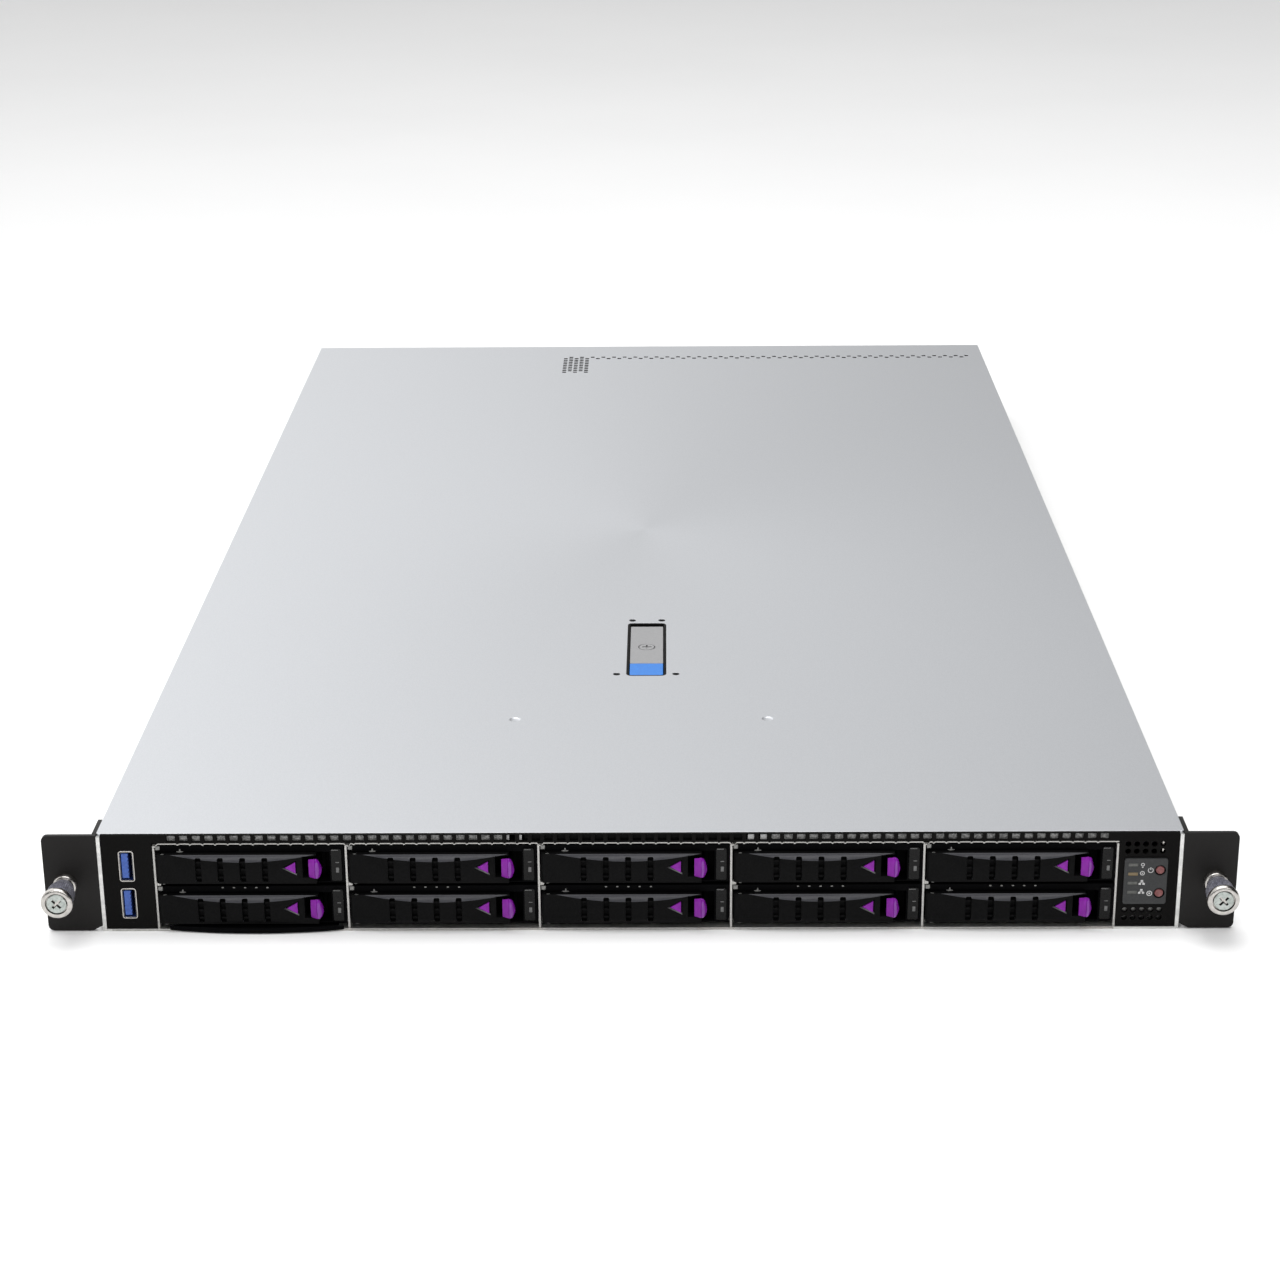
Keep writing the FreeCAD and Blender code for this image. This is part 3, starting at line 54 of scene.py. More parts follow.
# ---------------------------------------------------------------- sizes read from the frame
body_high = corners("chassis_base")[1]
cover_low, cover_high = corners("top_cover")
frame_low, frame_high = corners("front_frame")
panel_low, panel_high = corners("control_panel")
cage_low, cage_high = corners("drive_cage")
tag_low, tag_high = corners("info_tag")

front = frame_low.y
rear = cover_high.y
cover_top = cover_high.z
mid_height = cover_top / 2

# ---------------------------------------------------------------- sizes of the detail
sheet = 1.0
side_sheet = 1.5
side_in = body_high.x - side_sheet
divider_sheet = 0.9
bay_columns = 5
bay_pitch = (cage_high.x - cage_low.x - divider_sheet) / bay_columns
bays_left = cage_low.x + divider_sheet / 2
bays_right = cage_high.x - divider_sheet / 2

front_sheet_thick = 1.2
strip_height = 0.85
# Length of the painted-light segment at each bay's right end.
painted_light_length = 13.5
vent_width = 3.4
vent_height = 2.8
vent_pitch = 5.08
vent_border = 0.35
vent_margin = 3.8
vent_shift = 0.9
screen_start = 3.0
screen_end = 2 * bay_pitch - 14.5

roof_hole_width = 2.5
roof_hole_length = 2.6
roof_pitch = 3.51
roof_row_step = 3.5
roof_from_rear = 29.0
roof_left = -38.7
roof_right = 209.7
block_columns = 5
block_rows = 9
block_step = 4.2

latch_x = 1.9
latch_width = 18.5
latch_front = 172.4
latch_length = 69.6
latch_radius = 2.6
latch_wall = 1.2
latch_gap = 0.25
pad_length = 16.5
peg_radius = 1.3
pegs = ((13.7, 2.3), (7.1, 73.3))
dimple_across = 56.0
dimple_from_front = 120.0
dimple_radius = 2.6
lock_y = 210.5
lock_radius = 3.7
hinge_from_rear = 4.2
hinge_drop = 2.9
latch_sink = 0.3
latch_top = cover_top - latch_sink
latch_thick = 2.2

usb_x = (corners("usb_ports")[0].x + corners("usb_ports")[1].x) / 2
usb_step = 16.6

carrier_height = 16.7
lever_foot = 0.65
lever_left = 1.0
lever_right = 65.8
lever_height = 12.9
lever_thick = 5.2
lever_front = 3.0
lever_pocket = 60.3
pocket_floor = 2.8
pocket_roof = 0.7
scoop_left = 7.0
scoop_right = 65.2
face_bow = 1.45
scoop_slope = 1.9
slot_first = 18.2
slot_pitch = 9.0
slot_width = 2.4
slot_depth = 2.6
slot_margin = 1.15
arrow_back = 58.0
arrow_length = 6.2
arrow_height = 6.6
arrow_rise = 7.3
arrow_sink = 1.75
button_edges = (62.9, 65.6, 68.0)
window_left = 71.6
window_right = 76.0
window_low = 1.0
window_high = 15.2
bezel_margin = 0.8
bezel_depth = 10.0
air_slots = 9
air_slot_first = 12.0
air_slot_pitch = 5.2
air_slot_width = 3.6
rail_width = 3.175
rail_length = 98.2

tag_lip_gap = 0.3
tag_card_half = 33.0
tag_card_rise = 0.65
tag_card_thick = 0.85

cage_roof_drop = 1.2
bay_floor_low = 2.2
bay_floor_high = 3.0
runner_width = 2.2
runner_low = 20.3
runner_high = 21.1

board_sheet = 1.6
board_notch = 154.1
board_past_psu = 30.0
board_rear_gap = 2.2
psu_length = 185.0
riser_x = 118.0
riser_length = 150.0
riser_from_rear = 180.0
processor_x = 110.0
processor_y = 333.0
memory_pitch = 8.4
bank_from_sink = 50.0
frame_half = 31.0
socket_half = 71.0
clip_place = 69.2
card_sheet = 1.3
memory_chip_pitch = 12.6
memory_chip_width = 7.5

psu_face = 1.6
psu_inlet_from_left = 18.0
psu_inlet_rise = 12.5
psu_fan_from_right = 23.5
psu_fan_radius = 15.5
psu_handle_rise = 27.0
psu_bail_bar = 3.4
psu_bail_width = 30.0
guard_wire = 0.9

socket_past_rear = 0.8
network_places = (14.8, 56.8, 74.8)
network_height = 13.6
usb_stack_place = 35.8
video_place = 104.8

rotor_hub = 9.6
rotor_tip = 17.0
rotor_depth = 19.0
blade_chord = 15.0

rack_hole = 465.1
ear_sheet = 2.0
ear_radius = 2.4
ear_rise = 2.2
ear_hole_radius = 3.3
flange_straight = 16.0
flange_length = 38.0
flange_slope = 12.0
knob_reach = 19.0
knob_radius = 5.6
rim_radius = 6.45
rim_length = 2.6
ferrule_radius = 4.9
ferrule_front = 4.5
recess_depth = 1.35

button_across = 5.8
button_rises = (4.9, -5.3)
well_radius = 2.3
icon_from_button = 3.9
overlay_thick = 0.9
lamp_across = 5.1
lamp_rise = 7.3
lamp_pitch = 4.05
round_vent_rises = (16.2, 13.0, -13.2, -16.7)


# ================================================================ mesh helpers
PLANES = {
    "XY": lambda u, v, w: Vector((u, v, w)),
    "XZ": lambda u, v, w: Vector((u, w, v)),
    "YZ": lambda u, v, w: Vector((w, u, v)),
}


def rounded(x0, x1, y0, y1, radius, steps=5):
    """Outline of a rectangle with round corners."""
    points = []
    middles = ((x1 - radius, y1 - radius, 0), (x0 + radius, y1 - radius, 90),
               (x0 + radius, y0 + radius, 180), (x1 - radius, y0 + radius, 270))
    for cx, cy, start in middles:
        for k in range(steps + 1):
            angle = math.radians(start + 90 * k / steps)
            points.append((cx + radius * math.cos(angle), cy + radius * math.sin(angle)))
    return points


def pill(cx, cy, half_x, half_y, radius, steps=5):
    """Outline of a round-cornered rectangle about its middle."""
    return rounded(cx - half_x, cx + half_x, cy - half_y, cy + half_y, radius, steps)


def disc(cx, cy, radius, sides=24):
    """Outline of a circle."""
    turns = [2 * math.pi * k / sides for k in range(sides)]
    return [(cx + radius * math.cos(t), cy + radius * math.sin(t)) for t in turns]


def slab(bm, outline, plane, start, end, holes=()):
    """A flat outline with holes, pushed from start to end along the axis across its plane."""
    place = PLANES[plane]
    if holes:
        edges = []
        for loop in [outline] + list(holes):
            verts = [bm.verts.new(place(u, v, start)) for u, v in loop]
            edges += [bm.edges.new(pair) for pair in zip(verts, verts[1:] + verts[:1])]
        filled = bmesh.ops.triangle_fill(bm, use_beauty=True, use_dissolve=False, edges=edges)
        faces = [g for g in filled["geom"] if isinstance(g, bmesh.types.BMFace)]
    else:
        faces = [bm.faces.new([bm.verts.new(place(u, v, start)) for u, v in outline])]
    pushed = bmesh.ops.extrude_face_region(bm, geom=faces)
    verts = [g for g in pushed["geom"] if isinstance(g, bmesh.types.BMVert)]
    bmesh.ops.translate(bm, vec=place(0, 0, end - start), verts=verts)


def block(bm, x0, x1, y0, y1, z0, z1):
    """A block between two corners."""
    slab(bm, [(x0, y0), (x1, y0), (x1, y1), (x0, y1)], "XY", z0, z1)


def lathe(bm, profile, centre, axis, steps=48, knurl=0.0, knurled=()):
    """Turns a profile of (radius, distance along the axis) about an axis; some points may be knurled."""
    rings = []
    for number, (radius, along) in enumerate(profile):
        ring = []
        for k in range(steps if radius > 0 else 1):
            angle = 2 * math.pi * k / steps
            reach = radius - (knurl if number in knurled and k % 2 else 0.0)
            u, v = reach * math.cos(angle), reach * math.sin(angle)
            place = (u, along, v) if axis == "Y" else (u, v, along)
            ring.append(bm.verts.new(Vector(centre) + Vector(place)))
        rings.append(ring)
    for first, second in zip(rings, rings[1:]):
        for k in range(steps):
            following = (k + 1) % steps
            if len(first) == 1:
                bm.faces.new((first[0], second[k], second[following]))
            elif len(second) == 1:
                bm.faces.new((first[k], first[following], second[0]))
            else:
                bm.faces.new((first[k], first[following], second[following], second[k]))


def loose_object(bm):
    """A throwaway object for a boolean."""
    bmesh.ops.recalc_face_normals(bm, faces=bm.faces)
    mesh = bpy.data.meshes.new("loose")
    bm.to_mesh(mesh)
    bm.free()
    obj = bpy.data.objects.new("loose", mesh)
    bpy.context.scene.collection.objects.link(obj)
    return obj


def carve(bm, cutter):
    """Cuts one shape out of another and gives the result."""
    target, tool = loose_object(bm), loose_object(cutter)
    modifier = target.modifiers.new("cut", "BOOLEAN")
    modifier.object = tool
    modifier.operation = "DIFFERENCE"
    modifier.solver = "EXACT"
    modifier.use_self = True
    depsgraph = bpy.context.evaluated_depsgraph_get()
    mesh = bpy.data.meshes.new_from_object(target.evaluated_get(depsgraph))
    result = bmesh.new()
    result.from_mesh(mesh)
    for obj in (target, tool):
        old = obj.data
        bpy.data.objects.remove(obj)
        bpy.data.meshes.remove(old)
    bpy.data.meshes.remove(mesh)
    bmesh.ops.dissolve_limit(result, angle_limit=math.radians(0.5), verts=result.verts, edges=result.edges)
    return result


def to_mesh(name, bm, material, smooth_angle=35, second=None, where=None):
    """Turns a shape in millimetres into a shaded mesh in metres; some faces may take a second material."""
    bmesh.ops.recalc_face_normals(bm, faces=bm.faces)
    if second:
        bm.faces.index_update()
        for face in bm.faces:
            face.material_index = 1 if where(face) else 0
    mesh = bpy.data.meshes.new(name)
    bm.to_mesh(mesh)
    bm.free()
    mesh.transform(Matrix.Scale(MM, 4))
    mesh.materials.append(material)
    if second:
        mesh.materials.append(second)
    mesh.polygons.foreach_set("use_smooth", [True] * len(mesh.polygons))
    mesh.set_sharp_from_angle(angle=math.radians(smooth_angle))
    return mesh


def soften(obj, width, segments=2, weld=False):
    """Rounds the edges of a piece."""
    if weld:
        obj.modifiers.new("weld", "WELD").merge_threshold = 1e-6
    bevel = obj.modifiers.new("round", "BEVEL")
    bevel.width = width * MM
    bevel.segments = segments
    bevel.limit_method = "ANGLE"
    bevel.angle_limit = math.radians(40)
    bevel.harden_normals = True


def add(name, mesh, body, slot, bevel=0.0, segments=2, at=(0, 0, 0), replaces=()):
    """Puts a mesh in the scene as a piece that rides on a body."""
    obj = bpy.data.objects.new(name, mesh)
    obj.location = Vector(at) * MM
    bpy.context.scene.collection.objects.link(obj)
    if bevel:
        soften(obj, bevel, segments)
    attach(obj, body)
    if replaces:
        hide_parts(*replaces)
    return obj


def piece(name, bm, material, body, slot, **options):
    return add(name, to_mesh(name, bm, material), body, slot, **options)


# ================================================================ materials
def grain_noise(nodes, links, size, detail):
    """Noise in object space; its grain is one size, or one for each axis."""
    coords, stretch = nodes.new("ShaderNodeTexCoord"), nodes.new("ShaderNodeMapping")
    stretch.inputs["Scale"].default_value = size if isinstance(size, tuple) else (size, size, size)
    noise = nodes.new("ShaderNodeTexNoise")
    noise.inputs["Scale"].default_value = 1.0
    noise.inputs["Detail"].default_value = detail
    links.new(coords.outputs["Object"], stretch.inputs["Vector"])
    links.new(stretch.outputs["Vector"], noise.inputs["Vector"])
    return noise.outputs["Fac"]


def finish(name, dark, light, roughness, metallic=0.0, grain=900, spread=0.06, bump=0.1, bump_grain=None,
           coat=0.0, anisotropy=0.0, contrast=0.35, specular=0.5):
    """A material with grain in its colour, gloss and relief."""
    material = bpy.data.materials.new(name)
    material.use_nodes = True
    nodes, links = material.node_tree.nodes, material.node_tree.links
    shader = nodes["Principled BSDF"]
    for socket, value in (("Metallic", metallic), ("Specular IOR Level", specular), ("Coat Weight", coat),
                          ("Coat Roughness", 0.12), ("Anisotropic", anisotropy)):
        shader.inputs[socket].default_value = value
    mottle = grain_noise(nodes, links, grain, 5.0)
    ramp, gloss = nodes.new("ShaderNodeValToRGB"), nodes.new("ShaderNodeMapRange")
    for stop, share, colour in zip(ramp.color_ramp.elements, (-0.5, 0.5), (dark, light)):
        stop.position = 0.5 + share * contrast
        stop.color = (*colour, 1)
    gloss.inputs["To Min"].default_value = roughness - spread
    gloss.inputs["To Max"].default_value = roughness + spread
    links.new(mottle, ramp.inputs["Fac"])
    links.new(mottle, gloss.inputs["Value"])
    links.new(ramp.outputs["Color"], shader.inputs["Base Color"])
    links.new(gloss.outputs["Result"], shader.inputs["Roughness"])
    if bump:
        relief = nodes.new("ShaderNodeBump")
        relief.inputs["Strength"].default_value = bump
        relief.inputs["Distance"].default_value = 0.0001
        links.new(grain_noise(nodes, links, bump_grain or grain, 3.0), relief.inputs["Height"])
        links.new(relief.outputs["Normal"], shader.inputs["Normal"])
    return material


def glow(name, colour, strength):
    """A lamp window that shines faintly."""
    material = finish(name, colour, colour, 0.4, bump=0)
    shader = material.node_tree.nodes["Principled BSDF"]
    shader.inputs["Emission Color"].default_value = (*colour, 1)
    shader.inputs["Emission Strength"].default_value = strength
    return material


cover_steel = finish("cover_steel_look", (0.60, 0.615, 0.64), (0.64, 0.655, 0.68), 0.36, 0.9, spread=0.03,
                     grain=(2600, 900, 2600), bump=0.05, bump_grain=(5000, 1500, 5000), anisotropy=0.2)
zinc = finish("zinc_look", (0.56, 0.56, 0.55), (0.72, 0.72, 0.70), 0.38, 0.9,
              grain=(160, 420, 420), bump=0.15)
zinc_edge = finish("cut_edge_look", (0.38, 0.375, 0.36), (0.52, 0.51, 0.49), 0.4, 0.7,
                   grain=(900, 900, 1600), bump=0.2)
# Grey steel for tabs and plates, also used for painted glints on the bezels.
tab_steel_and_glints = finish("tab_and_glint_look", (0.16, 0.16, 0.155), (0.25, 0.25, 0.24), 0.45, 0.4, grain=1200, bump=0.2)
screen_steel = finish("screen_look", (0.10, 0.10, 0.10), (0.30, 0.30, 0.295), 0.5, 0.2,
                      grain=1500, bump=0.6, contrast=0.2)
# Dark colour for the walls of the cover's small vents: painted shade.
vent_wall_shade_paint = finish("vent_wall_painted_shade_look", (0.03, 0.03, 0.032), (0.06, 0.06, 0.062), 0.6, bump=0.1, specular=0.2)
black_paint = finish("black_paint_look", (0.006, 0.0055, 0.0052), (0.012, 0.011, 0.0105), 0.48, 0.0,
                     grain=2200, bump=0.35, spread=0.08, specular=0.18)
sheet_black = finish("sheet_paint_look", (0.0022, 0.0020, 0.0019), (0.0045, 0.0042, 0.0040), 0.5, 0.0,
                     grain=2200, bump=0.3, spread=0.06, specular=0.06)
black_plastic = finish("black_plastic_look", (0.0010, 0.0010, 0.0012), (0.0022, 0.0022, 0.0026), 0.5,
                       grain=1800, bump=0.25, specular=0.025)
lever_black = finish("lever_look", (0.0028, 0.0028, 0.0029), (0.0052, 0.0052, 0.0054), 0.5,
                     grain=1500, bump=0.25, spread=0.05, specular=0.045)
# A lighter, glossier copy of the lever's black for its upward-sloping faces: painted light.
lever_painted_light = finish("lever_painted_light_look", (0.024, 0.024, 0.029), (0.034, 0.034, 0.041), 0.36,
                     grain=1800, bump=0.12, spread=0.04, specular=0.6)
# Near-black for black plastic parts, and for painted shade in recesses, gaps and behind vents.
slot_black = finish("slot_look", (0.001, 0.001, 0.001), (0.003, 0.003, 0.003), 0.6, bump=0.1, specular=0.1)
purple = finish("purple_look", (0.185, 0.010, 0.265), (0.225, 0.016, 0.325), 0.34,
                grain=300, bump=0.03, specular=0.2)
purple_gloss = finish("purple_gloss_look", (0.175, 0.006, 0.275), (0.210, 0.010, 0.330), 0.2,
                      grain=300, bump=0.02, coat=0.6, specular=0.3)
latch_grey = finish("latch_grey_look", (0.25, 0.25, 0.255), (0.29, 0.29, 0.295), 0.5,
                    grain=1600, bump=0.25)
latch_blue = finish("latch_blue_look", (0.011, 0.15, 0.53), (0.018, 0.19, 0.61), 0.4,
                    grain=1200, bump=0.15)
nickel = finish("nickel_look", (0.40, 0.385, 0.365), (0.54, 0.52, 0.495), 0.24, 1.0,
                grain=500, bump=0.05, spread=0.08)
screw_steel = finish("screw_look", (0.30, 0.33, 0.31), (0.46, 0.49, 0.47), 0.28, 1.0,
                     grain=700, bump=0.15, spread=0.08)
knurl_steel = finish("knurl_look", (0.22, 0.22, 0.27), (0.50, 0.50, 0.57), 0.36, 0.75,
                     grain=900, bump=0.2)
panel_grey = finish("panel_look", (0.029, 0.030, 0.031), (0.038, 0.039, 0.040), 0.5,
                    grain=1400, bump=0.12, specular=0.25)
# White for printed signs, and for painted light seen through the front vents.
print_and_light_white = finish("print_and_light_look", (0.45, 0.45, 0.45), (0.58, 0.58, 0.58), 0.5, bump=0)
button_brown = finish("button_look", (0.15, 0.045, 0.045), (0.22, 0.070, 0.068), 0.35,
                      grain=900, bump=0.1)
usb_blue = finish("usb_blue_look", (0.022, 0.070, 0.31), (0.038, 0.110, 0.43), 0.35,
                  grain=900, bump=0.08)
usb_dark = finish("usb_inside_look", (0.004, 0.012, 0.065), (0.008, 0.020, 0.100), 0.5,
                  bump=0.1, specular=0.2)
amber = glow("amber_look", (0.16, 0.115, 0.055), 0.02)
lamp_off = finish("lamp_look", (0.085, 0.087, 0.082), (0.115, 0.117, 0.110), 0.4, bump=0.05, specular=0.25)
window_black = finish("window_look", (0.003, 0.003, 0.003), (0.006, 0.006, 0.006), 0.25, bump=0.02,
                      specular=0.15)
# Grey for the lamp lenses, and for painted highlights on the arrow recess and on the window's top edge.
lens_and_highlight_grey = finish("lens_and_highlight_look", (0.07, 0.07, 0.07), (0.13, 0.13, 0.13), 0.3, bump=0.05)
board = finish("board_look", (0.006, 0.055, 0.022), (0.012, 0.095, 0.038), 0.38,
               grain=260, bump=0.25, bump_grain=700, contrast=0.1)
socket_black = finish("socket_look", (0.012, 0.012, 0.013), (0.024, 0.024, 0.025), 0.5, bump=0.2)
chip_black = finish("chip_look", (0.006, 0.006, 0.007), (0.013, 0.013, 0.014), 0.4,
                    grain=1400, bump=0.15)
memory_look = finish("memory_look", (0.008, 0.07, 0.03), (0.014, 0.11, 0.045), 0.35,
                     grain=500, bump=0.2, contrast=0.15)
aluminium = finish("aluminium_look", (0.60, 0.61, 0.62), (0.76, 0.77, 0.78), 0.33, 1.0,
                   grain=(120, 900, 900), bump=0.12)
fan_black = finish("fan_look", (0.012, 0.012, 0.013), (0.025, 0.025, 0.027), 0.42,
                   grain=900, bump=0.2)
psu_steel = finish("psu_look", (0.52, 0.53, 0.53), (0.66, 0.67, 0.67), 0.36, 0.95,
                   grain=(240, 700, 240), bump=0.15)
brass = finish("contact_look", (0.62, 0.45, 0.16), (0.80, 0.60, 0.24), 0.28, 1.0, bump=0.05)


# ================================================================ top cover
def roof_holes():
    """Zigzag row of small vents by the rear edge, and longer columns of them at its left end."""
    holes = []
    for k in range(-block_columns, int((roof_right - roof_left) / roof_pitch) + 1):
        x = roof_left + roof_pitch * (k + 0.5)
        side = -0.5 if k % 2 else 0.5
        for row in range(block_rows if k < 0 else 1):
            y = rear - roof_from_rear + side * roof_row_step - row * block_step
            holes.append(pill(x, y, roof_hole_width / 2, roof_hole_length / 2, 0.5, 2))
    return holes


def latch_box(margin):
    """x0, x1, y0, y1 of the latch opening, grown by a margin."""
    half = latch_width / 2 + margin
    start = front + latch_front
    return latch_x - half, latch_x + half, start - margin, start + latch_length + margin


def peg_places():
    """Middles of the four pegs beside the latch."""
    start = front + latch_front
    return [(latch_x + side * across, start + along) for across, along in pegs for side in (-1, 1)]


def cover():
    """Flat lid with vents, latch opening, peg holes, dimples and folded sides."""
    bm = bmesh.new()
    holes = roof_holes() + [rounded(*latch_box(0.0), latch_radius)]
    holes += [disc(x, y, peg_radius + 0.35, 20) for x, y in peg_places()]
    dimples = [(side * dimple_across, front + dimple_from_front) for side in (-1, 1)]
    holes += [disc(x, y, dimple_radius, 24) for x, y in dimples]
    outline = rounded(cover_low.x, cover_high.x, cover_low.y, cover_high.y, 0.8, 3)
    slab(bm, outline, "XY", cover_top - sheet, cover_top, holes)
    for x, y in dimples:
        bowl = [(0, -0.9), (dimple_radius, -0.9), (dimple_radius, 0), (2.0, -0.28), (1.2, -0.42), (0, -0.45)]
        lathe(bm, bowl, (x, y, cover_top), "Z", 24)
    for side in (-1, 1):
        outer = side * (side_in - 0.3)
        block(bm, outer, outer - side * sheet, front + 24, rear - 24, cover_low.z, cover_top - sheet)
    # The walls of the small vents are painted dark as shade.
    mesh = to_mesh("cover_lid", bm, cover_steel, second=vent_wall_shade_paint, where=in_roof_hole)
    add("cover_lid", mesh, "cover", "cover_steel", bevel=0.22, replaces=("top_cover",))


def in_roof_hole(face):
    """True for the walls of the small vents in the cover, which take a dark colour as painted shade."""
    middle = face.calc_center_median()
    return (abs(face.normal.z) < 0.3 and middle.y > rear - 80 and abs(middle.x) < side_in - 2
            and face.calc_area() < 5)


def latch_tub():
    """Tub let into the cover, with a flange under the sheet and four pegs."""
    floor_z = corners("latch_housing")[0].z
    bm = bmesh.new()
    slab(bm, rounded(*latch_box(-0.02), latch_radius), "XY", floor_z, cover_top - 0.12,
         [rounded(*latch_box(-latch_wall), 0.5)])
    slab(bm, rounded(*latch_box(-0.5), latch_radius), "XY", floor_z, floor_z + 1.0)
    slab(bm, rounded(*latch_box(6.2), 4.0), "XY", cover_top - 2 * sheet, cover_top - sheet - 0.05,
         [rounded(*latch_box(-0.6), latch_radius - 0.6)])
    r = peg_radius
    for x, y in peg_places():
        lathe(bm, [(0, -1.2), (r, -1.2), (r, -0.5), (r - 0.3, -0.3), (0, -0.3)], (x, y, cover_top), "Z", 24)
    piece("latch_tub", bm, slot_black, "cover", "black_plastic", bevel=0.12, replaces=("latch_housing",))


def latch_handle():
    """Handle plate with folded sides and a hinge barrel, and the blue pad in front of it."""
    x0, x1, y0, y1 = latch_box(-latch_wall - latch_gap)
    seam, hinge_y = y0 - latch_wall - latch_gap + pad_length, y1 + latch_wall + latch_gap - hinge_from_rear
    barrel = hinge_drop - latch_sink
    bm = bmesh.new()
    slab(bm, [(x0, seam + 0.3), (x1, seam + 0.3), (x1, hinge_y), (x0, hinge_y)], "XY",
         latch_top - latch_thick, latch_top, [disc(latch_x, front + lock_y, lock_radius + 0.3, 48)])
    slab(bm, disc(hinge_y, latch_top - barrel, barrel - 0.25, 32), "YZ", x0, x1)
    for edge, inward in ((x0, 1.2), (x1, -1.2)):
        block(bm, edge, edge + inward, seam + 0.4, hinge_y - 4, latch_top - 3.8, latch_top - 2.1)
    piece("latch_handle_plate", bm, latch_grey, "latch_handle", "latch_grey", bevel=0.3, segments=3,
          replaces=("latch_handle",))
    bm = bmesh.new()
    slab(bm, [(x1, seam), (x0, seam)] + rounded(x0, x1, y0, seam, 1.6)[12:], "XY", latch_top - latch_thick,
         latch_top)
    piece("latch_pad", bm, latch_blue, "latch_release", "latch_blue", bevel=0.35, segments=3,
          replaces=("latch_release",))


def latch_lock():
    """Round lock with a cross recess painted black as shade, on a dark seat in the handle."""
    x, y, top, seat = latch_x, front + lock_y, latch_top, lock_radius + 0.6
    bm = bmesh.new()
    block(bm, x - seat, x + seat, y - seat, y + seat, top - 2.3, top - 1.75)
    piece("latch_lock_seat", bm, slot_black, "latch_handle", "latch_grey")
    r = lock_radius - 0.1
    bm, cutter = bmesh.new(), bmesh.new()
    lathe(bm, [(0, -1.4), (r, -1.4), (r, -0.15), (r - 0.15, 0), (0, 0)], (x, y, top), "Z", 48)
    for across, along in ((2.2, 0.35), (0.35, 2.2)):
        block(cutter, x - across, x + across, y - along, y + along, top - 0.7, top + 1)
    # The recess's walls and floor take near-black: painted shade.
    mesh = to_mesh("latch_lock_disc", carve(bm, cutter), latch_grey, second=slot_black,
                   where=lambda f: top - 0.72 < f.calc_center_median().z < top - 0.25 and f.calc_area() < 4)
    add("latch_lock_disc", mesh, "latch_lock", "lock_grey", bevel=0.05, replaces=("latch_lock",))


# ================================================================ front frame
def front_sheet():
    """Black front sheet with a row of vents, sockets, the panel's hole and round vents."""
    bm = bmesh.new()
    margin = divider_sheet / 2 + 0.15
    x0, x1 = frame_low.x, frame_high.x
    z0, z1 = frame_low.z, frame_high.z
    left, right, roof = bays_left - margin, bays_right + margin, cage_high.z + 0.1
    outline = [(x0, z0), (left, z0), (left, roof), (right, roof), (right, z0), (x1, z0), (x1, z1), (x0, z1)]
    top = z1 - vent_border
    holes = []
    for x in vent_places():
        holes.append(rounded(x - vent_width / 2, x + vent_width / 2, top - vent_height, top, 0.25, 2))
    for node_z in usb_places():
        holes.append(pill(usb_x, node_z, 2.9, 6.6, 0.8, 3))
    panel_x, panel_z = panel_middle()
    for x, z in panel_hole_places():
        holes.append(disc(x, z, 1.15, 20))
    holes.append(pill(panel_x, panel_z, 7.6, 9.0, 0.8, 3))
    slab(bm, outline, "XZ", front, front + front_sheet_thick, holes)
    for side in (-1, 1):
        block(bm, side * x1, side * (x1 - 1.0), front + front_sheet_thick, front + 9, z0, cover_top - 1.3)
    piece("front_sheet", bm, sheet_black, "chassis", "black_paint", bevel=0.1, replaces=("front_frame",))


def bottom_edge():
    """Bare edge of the chassis floor under the bays: a darker strip, with brighter nickel segments at each
    bay's right end as painted light where no lever shades it.
    """
    strip, bright = bmesh.new(), bmesh.new()
    far = front + 0.3
    block(strip, frame_low.x + 2.0, bays_right, front - 0.02, far, 0.02, strip_height)
    # Brighter nickel segments where the levers cast no shadow: painted light.
    for column in range(1, bay_columns + 1):
        right = bays_left + column * bay_pitch
        block(bright, right - painted_light_length, min(right + 1.5, bays_right), front - 0.03, far,
              0.25, strip_height + 0.2)
    piece("bottom_edge", strip, zinc_edge, "chassis", "zinc_steel", bevel=0.05)
    piece("bottom_edge_painted_light", bright, nickel, "chassis", "zinc_steel", bevel=0.05)


def vent_screens():
    """Grey mesh close behind the outer vents, with two white squares at each inner end that are painted light
    seen through the vents, and a black sheet behind the middle vents as painted shade.
    """
    low, high = cage_high.z + 0.15, cover_top - 1.1
    near, far = front + 1.35, front + 1.75
    screens, tabs, shade = bmesh.new(), bmesh.new(), bmesh.new()
    for end, inward in ((bays_left, 1), (bays_right, -1)):
        inner = end + inward * screen_end
        block(screens, end + inward * screen_start, inner, near, far, low, high)
        # White squares where light comes through the vents: painted light.
        for step in (1.5, 6.6):
            x = inner + inward * step
            block(tabs, x - 1.3, x + 1.3, near, far, low, high)
    # Black sheet where the middle vents show only shade: painted shade.
    block(shade, bays_left + screen_end + 9, bays_right - screen_end - 9, front + 1.6, front + 1.9, low, high)
    piece("middle_vent_painted_shade", shade, slot_black, "chassis", "black_plastic")
    piece("vent_screen", screens, screen_steel, "chassis", "zinc_steel", bevel=0.08)
    piece("vent_light_squares", tabs, print_and_light_white, "chassis", "zinc_steel", bevel=0.08)


